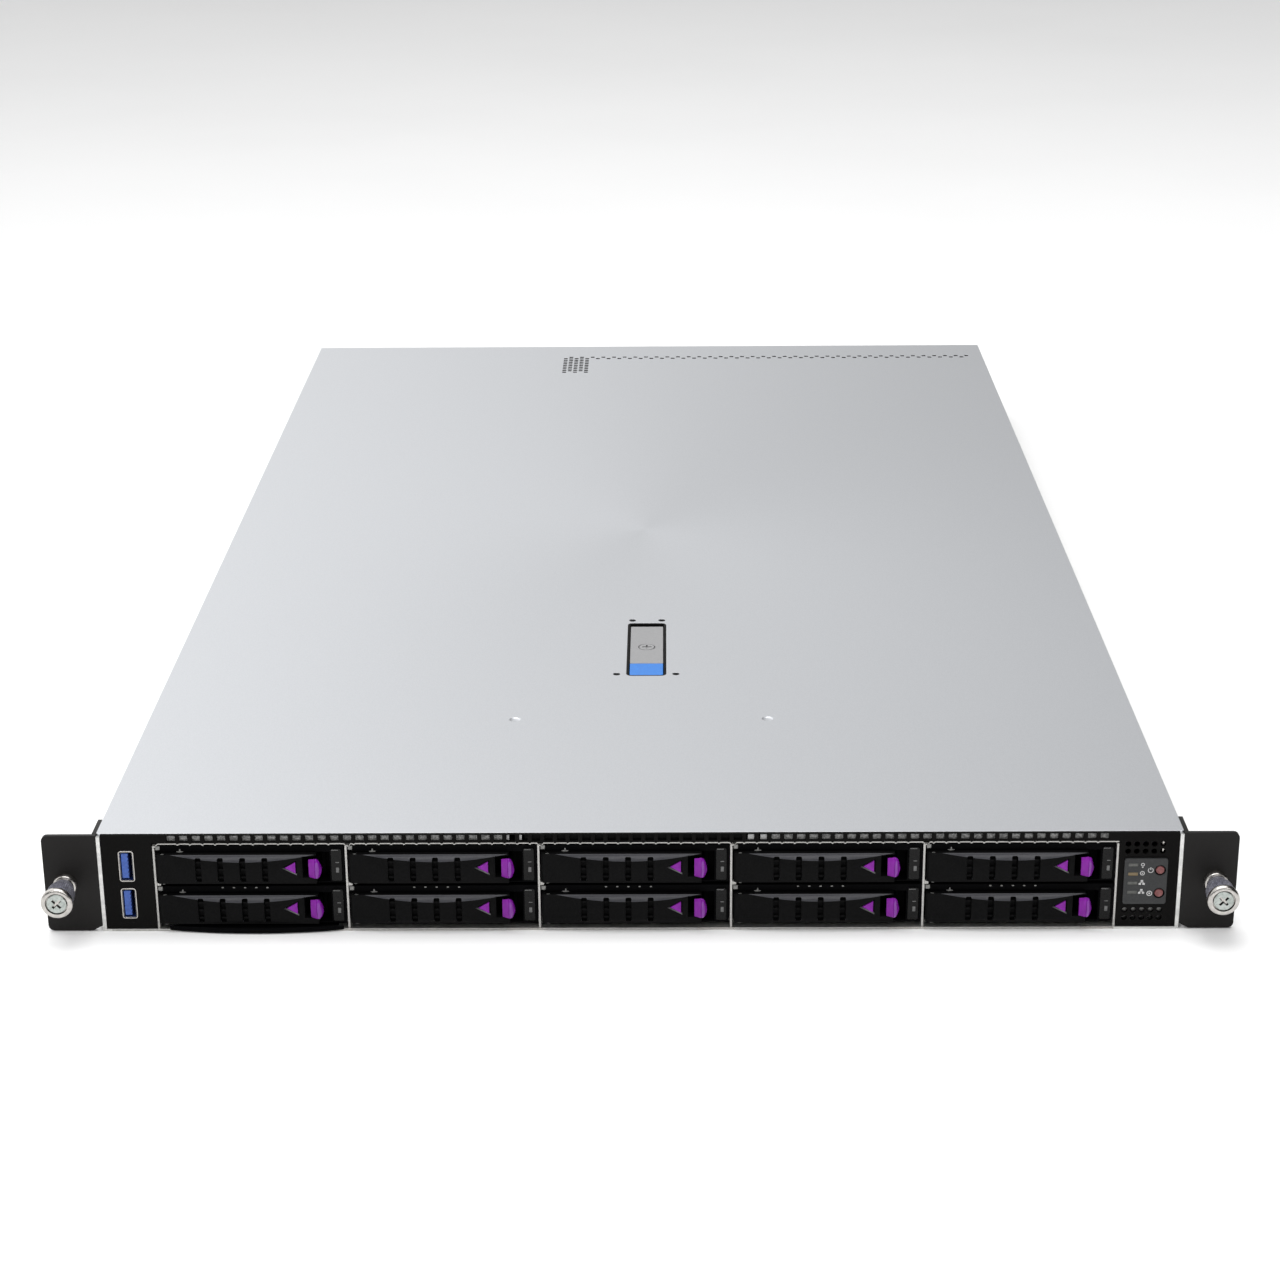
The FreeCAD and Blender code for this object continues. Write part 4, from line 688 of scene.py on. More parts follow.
def panel_vent_backs():
    """Plated sheet seen behind the round vents under the panel, and two bright clips above it."""
    backs, clips = bmesh.new(), bmesh.new()
    panel_z = panel_middle()[1]
    for x, z in panel_hole_places():
        if z < panel_z:
            depth = 1.5 if z > panel_z - 15 else 2.6
            slab(backs, disc(x + 0.2, z - 0.2, 0.95, 16), "XZ", front + depth, front + depth + 0.3)
    for x, z in panel_hole_places()[4:10:5]:
        slab(clips, [(x - 0.1, z - 0.9), (x + 0.8, z - 0.5), (x + 0.7, z + 0.4), (x - 0.1, z + 0.9)], "XZ",
             front + 1.4, front + 1.7)
    piece("panel_vent_backs", backs, tab_steel_and_glints, "chassis", "zinc_steel", bevel=0.15)
    piece("panel_clips", clips, nickel, "chassis", "bright_nickel", bevel=0.1)


def vent_places():
    """Middles of the vents over the bays."""
    run = bays_right - bays_left - 2 * vent_margin
    count = int(run // vent_pitch)
    first = (bays_left + bays_right - (count - 1) * vent_pitch) / 2 + vent_shift
    return [first + k * vent_pitch for k in range(count)]


def panel_hole_places():
    """Round vents above and below the control panel, row by row from the top."""
    panel_x, panel_z = panel_middle()
    return [(panel_x - 7.5 + k * 3.5, panel_z + rise) for rise in round_vent_rises for k in range(5)]


def usb_places():
    """Middle heights of the two sockets."""
    low, high = corners("usb_ports")
    middle = (low.z + high.z) / 2
    return middle + usb_step / 2, middle - usb_step / 2


def panel_middle():
    """The overlay's middle; its module behind is centred on it."""
    return (panel_low.x + panel_high.x) / 2, (panel_low.z + panel_high.z) / 2


def usb_sockets():
    """Upright USB sockets: bright shells with a blue tongue and its contacts."""
    shells, tongues, contacts, insides = bmesh.new(), bmesh.new(), bmesh.new(), bmesh.new()
    x, y = usb_x, front - 0.3
    for z in usb_places():
        inner = pill(x, z, 2.45, 6.15, 0.6, 4)
        slab(shells, pill(x, z, 2.85, 6.55, 0.9, 4), "XZ", y, y + 14.5, [inner])
        slab(shells, pill(x, z, 3.12, 6.82, 1.2, 4), "XZ", y, y + 0.29, [inner])
        slab(insides, pill(x, z, 2.4, 6.1, 0.6, 4), "XZ", y + 13, y + 14.4)
        slab(insides, pill(x, z, 2.43, 6.13, 0.6, 4), "XZ", y + 0.5, y + 13, [pill(x, z, 2.3, 6.0, 0.5, 4)])
        slab(tongues, rounded(x - 2.05, x + 0.75, z - 5.5, z + 5.5, 0.3, 2), "XZ", y + 0.6, y + 13.2)
        for k in range(6):
            low = z - 4.6 + k * 1.65
            block(contacts, x + 0.5, x + 0.95, y + 0.55, y + 10, low, low + 0.75)
    piece("usb_shells", shells, nickel, "chassis", "bright_nickel", bevel=0.1, replaces=("usb_ports",))
    piece("usb_backs", insides, usb_dark, "chassis", "black_plastic")
    piece("usb_tongues", tongues, usb_blue, "chassis", "latch_blue", bevel=0.15)
    piece("usb_contacts", contacts, usb_dark, "chassis", "black_plastic")


# ================================================================ control panel
def icon_ring(bm, x, z, radius, width, gap_deg=0.0, steps=20):
    """A thin ring, open at the top when a gap is given."""
    outer, inner = [], []
    for k in range(steps + 1):
        angle = math.radians(90 + gap_deg / 2 + (360 - gap_deg) * k / steps)
        for loop, reach in ((outer, radius), (inner, radius - width)):
            loop.append((x + reach * math.cos(angle), z + reach * math.sin(angle)))
    y = panel_low.y
    if gap_deg:
        slab(bm, outer + inner[::-1], "XZ", y - 0.02, y + 0.1)
    else:
        slab(bm, outer[:-1], "XZ", y - 0.02, y + 0.1, [inner[:-1]])


def icon_bar(bm, x, z, width, height):
    """A small printed bar."""
    y = panel_low.y
    block(bm, x - width / 2, x + width / 2, y - 0.02, y + 0.1, z - height / 2, z + height / 2)


def icon_tree(bm, x, z, size):
    """Three little boxes in a tree: a plain network sign."""
    icon_bar(bm, x, z + size * 0.35, size * 0.5, size * 0.4)
    icon_bar(bm, x - size * 0.4, z - size * 0.35, size * 0.5, size * 0.4)
    icon_bar(bm, x + size * 0.4, z - size * 0.35, size * 0.5, size * 0.4)
    icon_bar(bm, x, z, size * 0.9, size * 0.12)


def panel_buttons():
    """Middles of the power button and of the ID button under it."""
    panel_x, panel_z = panel_middle()
    return [(panel_x + button_across, panel_z + rise) for rise in button_rises]


def control_panel():
    """Grey overlay with lamp windows and wells for two buttons, in front of a black module."""
    panel_x, panel_z = panel_middle()
    y = panel_low.y
    lamps = [(panel_x - lamp_across, panel_z + lamp_rise - k * lamp_pitch) for k in range(4)]
    holes = [disc(x, z, well_radius, 32) for x, z in panel_buttons()]
    holes += [pill(x, z, 2.0, 0.75, 0.2, 2) for x, z in lamps]
    bm = bmesh.new()
    slab(bm, pill(panel_x, panel_z, 8.7, 10.1, 1.0), "XZ", y, y + overlay_thick, holes)
    piece("panel_overlay", bm, panel_grey, "chassis", "panel_grey", bevel=0.2, replaces=("control_panel",))
    bm = bmesh.new()
    block(bm, panel_x - 9.4, panel_x + 9.4, front + 3.0, front + 15, panel_z - 8.8, panel_z + 8.8)
    piece("panel_module", bm, black_plastic, "chassis", "black_plastic", bevel=0.3)
    for k, (x, z) in enumerate(lamps):
        bm = bmesh.new()
        slab(bm, pill(x, z, 1.95, 0.7, 0.2, 2), "XZ", y + 0.1, y + overlay_thick - 0.1)
        look = amber if k == 1 else lamp_off
        piece("panel_lamp_%d" % (k + 1), bm, look, "chassis", "panel_grey", bevel=0.1)


def button_caps():
    """Round buttons with a dished middle, each in a dark well."""
    y = panel_low.y
    bm = bmesh.new()
    for x, z in panel_buttons():
        slab(bm, disc(x, z, well_radius - 0.01, 32), "XZ", y + 0.55, y + 0.8, [disc(x, z, 1.85, 32)])
    piece("button_wells", bm, slot_black, "chassis", "black_plastic")
    for name, (x, z) in zip(("power_button", "id_button"), panel_buttons()):
        bm = bmesh.new()
        lathe(bm, [(0, 5.9), (1.7, 5.9), (1.7, 0.35), (1.5, 0.12), (1.1, 0.1), (0.9, 0.3), (0, 0.42)],
              (x, y, z), "Y", 32)
        piece(name + "_cap", bm, button_brown, name, "button_red_brown", replaces=(name,))


def panel_icons():
    """Plain signs beside the lamps and the buttons."""
    panel_x, panel_z = panel_middle()
    (power_x, power_z), (id_x, id_z) = [(x - icon_from_button, z) for x, z in panel_buttons()]
    x = panel_x - 1.4
    bm = bmesh.new()
    icon_ring(bm, x, panel_z + 7.5, 0.75, 0.28)
    icon_bar(bm, x, panel_z + 6.3, 0.6, 0.35)
    icon_ring(bm, x, panel_z + 3.7, 0.95, 0.3)
    icon_bar(bm, x, panel_z + 3.7, 0.4, 0.4)
    icon_tree(bm, x, panel_z - 0.4, 1.9)
    icon_tree(bm, x, panel_z - 4.4, 1.9)
    icon_ring(bm, power_x, power_z + 0.1, 1.15, 0.3, 70)
    icon_bar(bm, power_x, power_z + 0.85, 0.3, 1.1)
    icon_ring(bm, id_x, id_z, 1.15, 0.35)
    icon_bar(bm, id_x, id_z, 0.7, 0.7)
    piece("panel_icons", bm, print_and_light_white, "chassis", "panel_grey")


# ================================================================ ears and thumbscrews
def rack_ears():
    """Black angle brackets with rounded outer corners and a flange on the chassis side."""
    low, high = corners("rack_ears")
    for side, name in ((-1, "left"), (1, "right")):
        inner, outer = body_high.x + 0.01, high.x
        corner = rounded(inner, outer, low.z, high.z, ear_radius)
        inner_edge = [(inner, high.z), (inner, low.z + ear_rise), (inner + 4.0, low.z)]
        outline = corner[:6] + inner_edge + corner[18:]
        if side < 0:
            outline = [(-x, z) for x, z in outline][::-1]
        hole = disc(side * rack_hole / 2, mid_height, ear_hole_radius, 32)
        bm = bmesh.new()
        slab(bm, outline, "XZ", front, front + ear_sheet, [hole])
        near, bend, far = front + ear_sheet - 0.01, front + flange_straight, front + flange_length
        flange = [(near, low.z + ear_rise), (bend, low.z + ear_rise), (far, low.z + flange_slope),
                  (far, high.z - flange_slope), (bend, high.z), (near, high.z)]
        slab(bm, flange, "YZ", side * inner, side * (inner + ear_sheet))
        piece("ear_" + name, bm, black_paint, "chassis", "black_paint", bevel=0.25,
              replaces=("rack_ears",) if side < 0 else ())


def ferrule(name, centre, replaces):
    """Turned collar pressed into an ear."""
    r = ferrule_radius
    bm = bmesh.new()
    lathe(bm, [(3.25, 0), (r - 0.15, 0), (r, -0.2), (r, -2.9), (r - 0.35, -3.4), (r - 0.9, -3.6),
               (r - 1.2, -ferrule_front), (3.25, -ferrule_front), (3.25, 0)], centre, "Y", 48)
    piece("ferrule_" + name, bm, nickel, "chassis", "bright_nickel", replaces=replaces)


def knob(name, centre, body):
    """Screw with a neck and a knurled grip, and the bright rim round its end."""
    face, neck, grip_end = -knob_reach, -ferrule_front - 0.3, rim_length - knob_reach
    bm = bmesh.new()
    shank = [(0, 7.8), (1.7, 7.8), (2.4, 7.2), (2.4, 2.0), (3.0, 2.0), (3.0, neck), (4.1, neck),
             (4.3, neck - 0.2), (4.3, neck - 2.6), (4.6, neck - 3.0)]
    grip = [(knob_radius - 0.3, neck - 3.4), (knob_radius, neck - 4.6), (knob_radius, grip_end)]
    lathe(bm, shank + grip + [(3.0, grip_end + 0.1), (0, grip_end + 0.1)], centre, "Y", 84, knurl=0.45,
          knurled=range(len(shank), len(shank + grip)))
    piece("knob_" + name, bm, knurl_steel, body, "bright_nickel", replaces=(body,))
    r = rim_radius
    bm = bmesh.new()
    lathe(bm, [(0, grip_end), (r - 0.6, grip_end), (r, grip_end - 0.5), (r, face + 1.0),
               (r - 0.2, face + 0.5), (r - 0.6, face + 0.15), (r - 1.1, face), (r - 1.9, face),
               (r - 2.0, face + 0.2), (r - 2.0, face + 1.0), (r - 2.3, face + 1.0), (0, face + 1.0)],
          centre, "Y", 64)
    piece("knob_rim_" + name, bm, nickel, body, "bright_nickel")


def knob_face(name, centre, body):
    """Inner disc of the knob, with a cross recess whose dark colour is painted shade."""
    face, r = -knob_reach, rim_radius - 2.35
    bm, cutter = bmesh.new(), bmesh.new()
    lathe(bm, [(0, face + 1.5), (r, face + 1.5), (r, face + 0.35), (r - 0.25, face + 0.12), (0, face + 0.05)],
          centre, "Y", 48)
    slab(cutter, cross_outline(centre[0], centre[2], 2.3, 0.5), "XZ", front + face - 1,
         front + face + recess_depth)
    # The recess's walls and floor take near-black: painted shade.
    mesh = to_mesh("knob_face_" + name, carve(bm, cutter), screw_steel, second=slot_black,
                   where=lambda f: 0.4 < f.calc_center_median().y - front - face < recess_depth + 0.05
                   and f.calc_area() < 8)
    add("knob_face_" + name, mesh, body, "bright_nickel", bevel=0.06)


def cross_outline(cx, cz, reach, half):
    """Outline of a cross recess, turned by an eighth."""
    points = []
    for k in range(4):
        angle = math.radians(45 + 90 * k)
        cos, sin = math.cos(angle), math.sin(angle)
        for u, v in ((reach, -half), (reach, half), (half, half)):
            points.append((cx + u * cos - v * sin, cz + u * sin + v * cos))
    return points


def thumbscrews():
    """A captive screw in each ear; the CAD's two ferrules are one node."""
    for side, name in ((-1, "left"), (1, "right")):
        centre = (side * rack_hole / 2, front, mid_height)
        ferrule(name, centre, ("ear_ferrules",) if side < 0 else ())
        knob(name, centre, "thumbscrew_" + name)
        knob_face(name, centre, "thumbscrew_" + name)


# ================================================================ information tag
def info_tag():
    """Black pull-out card with a bowed lip under the first column of bays."""
    bm = bmesh.new()
    middle = (tag_low.x + tag_high.x) / 2
    half = (tag_high.x - tag_low.x) / 2
    back = front - tag_lip_gap
    reach = back - tag_low.y
    steps = 28
    bow = []
    for k in range(steps + 1):
        share = 2 * k / steps - 1
        bow.append((middle + half * share, back - reach * (1 - share * share)))
    slab(bm, bow, "XY", tag_low.z, tag_high.z)
    card = rounded(middle - tag_card_half, middle + tag_card_half, back - 0.2, tag_high.y, 0.5, 2)
    slab(bm, card, "XY", tag_low.z + tag_card_rise, tag_low.z + tag_card_rise + tag_card_thick)
    piece("tag_card", bm, black_plastic, "info_tag", "black_plastic", bevel=0.35, segments=3,
          replaces=("info_tag",))


# ================================================================ drive cage
def drive_cage():
    """Bare-metal cage: bright divider edges, notched roof edge, bay floors and runners."""
    bm = bmesh.new()
    y0, y1 = cage_low.y, cage_high.y
    high = cage_high.z
    roof = high - cage_roof_drop
    lines = [bays_left + column * bay_pitch for column in range(bay_columns + 1)]
    dips = [(x - vent_pitch / 2, 0.6, 0.45) for x in vent_places()[1:]]
    dips = [dip for dip in dips if min(abs(dip[0] - line) for line in lines) > 2.2]
    edge = [(cage_low.x + 0.2, high - 2.2), (cage_low.x + 2.4, high)]
    for line in lines[1:-1]:
        dips.append((line + 0.8, 1.4, 1.1))
    for x, half, deep in sorted(dips):
        low_half = half * 0.4
        edge += [(x - half, high), (x - low_half, high - deep), (x + low_half, high - deep), (x + half, high)]
    edge.append((cage_high.x, high))
    slab(bm, edge + [(x, z - 0.6) for x, z in reversed(edge)], "XZ", y0, y0 + 1.0)
    slab(bm, [(cage_low.x, y0 + 0.9), (cage_high.x, y0 + 0.9), (cage_high.x, y1), (cage_low.x, y1)], "XY",
         roof - 0.7, roof)
    block(bm, cage_low.x, cage_high.x, y0 + 0.9, y0 + 1.3, high - 1.9, high - 0.9)
    for line in lines:
        block(bm, line - divider_sheet / 2, line + divider_sheet / 2, y0, y1, cage_low.z, roof)
    for line in lines[:-1]:
        left = line + divider_sheet / 2
        right = left + bay_pitch - divider_sheet
        block(bm, left, right, y0 + 4, y1, bay_floor_low, bay_floor_high)
        for x in (left, right - runner_width):
            block(bm, x, x + runner_width, y0 + 13, y1 - 6, runner_low, runner_high)
        slab(bm, rounded(left, left + 1.6, runner_low - 0.4, runner_high + 0.5, 0.3, 2), "XZ",
             y0 + 0.4, y0 + 1.4)
    piece("cage_sheets", bm, zinc_edge, "chassis", "zinc_steel", bevel=0.1, replaces=("drive_cage",))


# ================================================================ drives
def face_at(x):
    """How far the lever's face lies ahead of the server, bowed out in its middle."""
    share = min(max((x - scoop_left) / (scoop_right - scoop_left), 0), 1)
    return front - lever_front + face_bow * (1 - 4 * share * (1 - share))


def lever_mesh():
    """Pull lever: bowed face with sloped edges, slots, arrow recess and button pocket."""
    face = front - lever_front
    back = face + lever_thick
    pivot_x, pivot_y = lever_left + lever_thick / 2, face + lever_thick / 2
    steps = 24
    outline = [(lever_right, back)]
    for k in range(7):
        angle = math.radians(90 + 90 * k / 6)
        outline.append((pivot_x + 2.6 * math.cos(angle), pivot_y + 2.6 * math.sin(angle)))
    outline += [(lever_left, face + face_bow + 1.0), (lever_left + 0.8, face + face_bow + 0.1)]
    for k in range(steps + 1):
        x = scoop_left + (scoop_right - scoop_left) * k / steps
        outline.append((x, face_at(x)))
    outline.append((lever_right, face_at(lever_right)))
    bm = bmesh.new()
    slab(bm, outline, "XY", 0, lever_height)
    rim = face + face_bow
    for edge_z, sign in ((lever_height, 1), (0, -1)):
        cutter = bmesh.new()
        slab(cutter, [(rim, edge_z), (rim - 3, edge_z - sign * 3 * scoop_slope), (rim - 3, edge_z + sign),
                      (rim, edge_z + sign)], "YZ", lever_left - 1, lever_right + 1)
        bm = carve(bm, cutter)
    cutter = bmesh.new()
    slot_half = slot_width / 2
    for k in range(4):
        x = slot_first + k * slot_pitch
        slab(cutter, rounded(x - slot_half, x + slot_half, slot_margin, lever_height - slot_margin, 0.5, 2),
             "XZ", face - 1, face + slot_depth)
    tip = arrow_back - arrow_length
    slab(cutter, [(tip, arrow_rise), (arrow_back, arrow_rise - arrow_height / 2),
                  (arrow_back, arrow_rise + arrow_height / 2)], "XZ", face - 1, face + arrow_sink)
    block(cutter, lever_pocket, lever_right + 1, face - 1, back + 1, pocket_floor, lever_height - pocket_roof)
    slab(cutter, disc(pivot_x, pivot_y, 0.95, 20), "XY", -1, lever_height + 1)
    # Upward-sloping faces take the lighter copy of the lever's black: painted light.
    return to_mesh("lever", carve(bm, cutter), lever_black, second=lever_painted_light,
                   where=lambda f: 0.25 < f.normal.z < 0.9 and f.calc_center_median().x > pivot_x + 1)


def lever_trim_mesh():
    """Tiny bars in the lever's slots."""
    bm = bmesh.new()
    face = front - lever_front
    for k in range(4):
        x = slot_first + k * slot_pitch
        for z in (2.9, 6.3, 9.6):
            slab(bm, pill(x, z, 1.1, 0.45, 0.3, 2), "XZ",
                 face + 1.3, face + slot_depth - 0.05)
    return to_mesh("slot_bars", bm, lever_black)


def arrow_mesh():
    """Purple arrow in the lever's recess, with a grey strip along the recess's lower edge as its painted
    highlight.
    """
    face = face_at(arrow_back - arrow_length / 2)
    tip, back, half = 53.15, arrow_back - 0.55, 2.48
    recess_tip, low = arrow_back - arrow_length, arrow_rise - arrow_height / 2
    bm = bmesh.new()
    slab(bm, [(tip, arrow_rise), (back, arrow_rise - half), (back, arrow_rise + half)], "XZ",
         face + 0.2, front - lever_front + arrow_sink)
    arrow_faces = len(bm.faces)
    # A grey strip along the recess's lower edge: painted highlight.
    slab(bm, [(recess_tip + 0.15, arrow_rise - 0.1), (arrow_back, low + 0.05), (arrow_back, low + 0.5),
              (recess_tip + 0.95, arrow_rise - 0.1)], "XZ", face + 0.15, front - lever_front + arrow_sink)
    return to_mesh("arrow", bm, purple, second=lens_and_highlight_grey, where=lambda f: f.index >= arrow_faces)


def release_mesh():
    """Thumb button: a matt left half that slants out to a ridge and a glossy rounded right half."""
    left, ridge, right = button_edges
    low, high = pocket_floor + 0.35, lever_height - pocket_roof - 0.35
    face = front - lever_front
    middle_z = (low + high) / 2
    bm = bmesh.new()
    grid = []
    for x, y, bottom, top in release_columns(left, ridge, right, low, high, face):
        middle, reach = (top + bottom) / 2, (top - bottom) / 2
        column = []
        for j in range(13):
            share = 2 * j / 12 - 1
            column.append(bm.verts.new((x, y + 0.8 * abs(share) ** 4, middle + reach * share)))
        grid.append(column)
    for first, second in zip(grid, grid[1:]):
        for j in range(12):
            bm.faces.new((first[j], second[j], second[j + 1], first[j + 1]))
    rim = [e for e in bm.edges if e.is_boundary]
    pushed = bmesh.ops.extrude_edge_only(bm, edges=rim)
    loop = [g for g in pushed["geom"] if isinstance(g, bmesh.types.BMEdge)]
    for vert in {v for e in loop for v in e.verts}:
        vert.co.y = max(vert.co.y + 0.5, face + 1.6)
        vert.co.z = middle_z + 0.82 * (vert.co.z - middle_z)
    bmesh.ops.contextual_create(bm, geom=loop)
    return to_mesh("release", bm, purple, 28, purple_gloss, lambda f: f.calc_center_median().x > ridge)


def release_columns(left, ridge, right, low, high, face):
    """Stations across the thumb button: x, y, lowest and highest z."""
    stations = []
    for k in range(9):
        share = k / 8
        stations.append((left + (ridge - 0.12 - left) * share, face + 0.3 - 1.65 * share, low,
                         high - 0.9 * (1 - share)))
    stations.append((ridge + 0.02, face - 1.12, low, high))
    for k in range(12):
        share = k / 11
        drop = 4.6 * share ** 2.4
        stations.append((ridge + 0.12 + (right - ridge - 0.12) * share, face - 1.35 + 2.2 * share ** 1.8,
                         low + 2.2 * share ** 4, high - drop))
    return stations


def shoe_mesh():
    """Black stem and catch plate behind the thumb button."""
    face = front - lever_front
    middle = (pocket_floor + lever_height - pocket_roof) / 2
    bm = bmesh.new()
    block(bm, 64.1, 67.1, face + 1.4, front + 7.3, middle - 3, middle + 3)
    block(bm, 62.7, 68.6, front + 7.25, front + 8.4, 0.1, lever_height - 0.1)
    return to_mesh("shoe", bm, black_plastic)


def carrier_mesh():
    """Black bezel with the lever's pocket, vented back and two rails; z from the carrier's foot."""
    x0, x1 = bezel_margin, bay_pitch - bezel_margin
    y0, y1 = front + 0.8, front + 0.8 + bezel_depth
    bm = bmesh.new()
    block(bm, x0, x1, y0, y1, 0, carrier_height)
    cutter = bmesh.new()
    block(cutter, x0 - 1, 71.0, y0 - 1, y1 - 2.2, 0.5, carrier_height - 3.0)
    for k in range(air_slots):
        left = air_slot_first + k * air_slot_pitch
        block(cutter, left, left + air_slot_width, y1 - 4, y1 + 1, 3.5, 11.7)
    bm = carve(bm, cutter)
    for x in (x0, x1 - rail_width):
        block(bm, x, x + rail_width, y1 + 0.001, y1 + rail_length, 0, 12)
    return to_mesh("bezel", bm, black_plastic)


def drive_mesh():
    """Drive between the rails: closed housing with a stepped edge."""
    side = bezel_margin + rail_width + 0.05
    x0, x1 = side, bay_pitch - side
    y0, y1 = front + 11.1, front + 111.2
    bm = bmesh.new()
    slab(bm, rounded(x0, x1, y0, y1, 1.5, 3), "XY", 0.95, 13.2)
    slab(bm, rounded(x0 + 1.6, x1 - 1.6, y0 + 2, y1 - 2, 3.0, 4), "XY", 13.1, 15.6)
    return to_mesh("drive", bm, aluminium)


def window_mesh():
    """Smoked lamp window beside the button."""
    bm = bmesh.new()
    slab(bm, rounded(window_left, window_right, window_low, window_high, 0.7, 3), "XZ", front + 0.1,
         front + 1.0)
    return to_mesh("window", bm, window_black)


def lens_mesh():
    """Faint lamp lenses behind the window, and a light line along the window's top edge as a painted
    highlight.
    """
    bm = bmesh.new()
    # The first mark is a painted highlight on the window's top edge; the other two are lamp lenses.
    for x, z, width, height in ((73.4, 14.75, 2.8, 0.35), (74.2, 9.3, 1.5, 0.35), (74.2, 5.9, 1.2, 2.2)):
        slab(bm, pill(x, z, width / 2, height / 2, 0.15, 2), "XZ",
             front + 0.04, front + 0.2)
    return to_mesh("lens", bm, lens_and_highlight_grey)


def hook_glint_mesh():
    """Moulded hook on the bezel's roof, over the lever, in a light grey that paints its glint."""
    bm = bmesh.new()
    z = carrier_height - 2.4
    slab(bm, [(9.2, z - 0.2), (9.9, z - 0.6), (11.5, z - 0.6), (12.2, z - 0.2), (11.1, z), (11.0, z + 0.9),
              (10.5, z + 0.9), (10.4, z)], "XZ", front + 0.3, front + 0.9)
    return to_mesh("hook", bm, tab_steel_and_glints)


def vent_glints_mesh():
    """Row of five small light marks on the bezel's roof: painted glints on the vent slots' edges."""
    bm = bmesh.new()
    for k in range(5):
        x = 27.1 + k * 4.55
        slab(bm, rounded(x - 0.45, x + 0.45, 15.75, 16.25, 0.15, 2), "XZ", front + 0.5, front + 0.9)
    return to_mesh("vent_glints", bm, tab_steel_and_glints)


def bracket_mesh():
    """Bare-metal hinge tabs above and below the lever's round end, with their pin."""
    bm = bmesh.new()
    x, y = lever_left + lever_thick / 2, front - lever_front + lever_thick / 2
    for z0, z1 in ((0.05, lever_foot - 0.05), (14.9, carrier_height - 0.15)):
        slab(bm, rounded(0.85, 2.7, front + 0.2, front + 1.8, 0.3, 2), "XY", z0, z1)
    lathe(bm, [(0, 0.3), (0.85, 0.3), (0.85, 13.2), (0, 13.2)], (x, y, 0), "Z", 20)
    return to_mesh("bracket", bm, tab_steel_and_glints)


def drives():
    """Ten drives from shared meshes; the first of each list replaces its body's CAD node, and only the
    lower row has the last of the carrier's."""
    on_carrier = [("bezel", carrier_mesh(), "carrier_black", 0.2),
                  ("drive", drive_mesh(), "sink_aluminium", 0.3),
                  ("window", window_mesh(), "carrier_black", 0.3),
                  ("lens", lens_mesh(), "panel_grey", 0.0),
                  ("hook", hook_glint_mesh(), "zinc_steel", 0.15),
                  ("bracket", bracket_mesh(), "zinc_steel", 0.1),
                  # The last carrier piece is the row of painted glints, on the lower row only.
                  ("vent_glints", vent_glints_mesh(), "carrier_black", 0.08)]
    on_lever = [("lever", lever_mesh(), "lever_charcoal", 0.16),
                ("lever_bars", lever_trim_mesh(), "lever_charcoal", 0.15),
                ("lever_arrow", arrow_mesh(), "release_purple", 0.08)]
    on_release = [("button", release_mesh(), "release_purple", 0.0),
                  ("button_shoe", shoe_mesh(), "carrier_black", 0.15)]
    for number in range(1, 2 * bay_columns + 1):
        line = bays_left + (number - 1) % bay_columns * bay_pitch
        foot = corners("drive_carrier_%02d" % number)[0].z
        upper_row = number <= bay_columns
        for part, rise, pieces in (("carrier", 0, on_carrier[:-1] if upper_row else on_carrier),
                                   ("lever", lever_foot, on_lever), ("release", lever_foot, on_release)):
            node = "drive_%s_%02d" % (part, number)
            for name, mesh, slot, bevel in pieces:
                add("%s_%02d" % (name, number), mesh, node, slot, bevel, at=(line, 0, foot + rise),
                    replaces=(node,) if mesh == pieces[0][1] else ())


# ================================================================ rear and inside
def power_supply(name):
    """Slide-in supply: its pieces share the places of the mains inlet and of the fan."""
    low, high = corners(name)
    face = rear + psu_face
    inlet_x, inlet_z = low.x + psu_inlet_from_left, low.z + psu_inlet_rise
    fan_x, fan_z = high.x - psu_fan_from_right, (low.z + high.z) / 2
    psu_casing(name, low, high, face, pill(inlet_x, inlet_z, 12, 8.5, 2.5, 4), fan_x, fan_z)
    psu_inlet(name, inlet_x, inlet_z, face)
    psu_guard(name, fan_x, fan_z, face)
    left = inlet_x - 14
    psu_bail(name, left, left + psu_bail_width, low.z + psu_handle_rise, face, high.y)
    bm = bmesh.new()
    block(bm, high.x - 7.5, high.x - 2.0, face - 0.4, face + 12, low.z + 3, low.z + 5)
    for k in range(4):
        y = face + 5 + 1.8 * k
        block(bm, high.x - 7.3, high.x - 2.2, y, y + 0.7, low.z + 2.8, low.z + 5.0)
    piece(name + "_tab", bm, purple, name, "release_purple", bevel=0.35)


def psu_casing(name, low, high, face, inlet, fan_x, fan_z):
    """Folded casing with recesses for the inlet and the fan."""
    fan = disc(fan_x, fan_z, psu_fan_radius, 48)
    bm, hollows = bmesh.new(), bmesh.new()
    outline = rounded(low.x, high.x, low.z, high.z, 0.6, 2)
    slab(bm, outline, "XZ", face - 1.0, face, [inlet, fan])
    slab(bm, outline, "XZ", low.y, face - 1.0)
    slab(hollows, inlet, "XZ", face - 15, face + 1)
    slab(hollows, fan, "XZ", face - 2, face + 1)
    piece(name + "_casing", carve(bm, hollows), psu_steel, name, "zinc_steel", bevel=0.25, replaces=(name,))


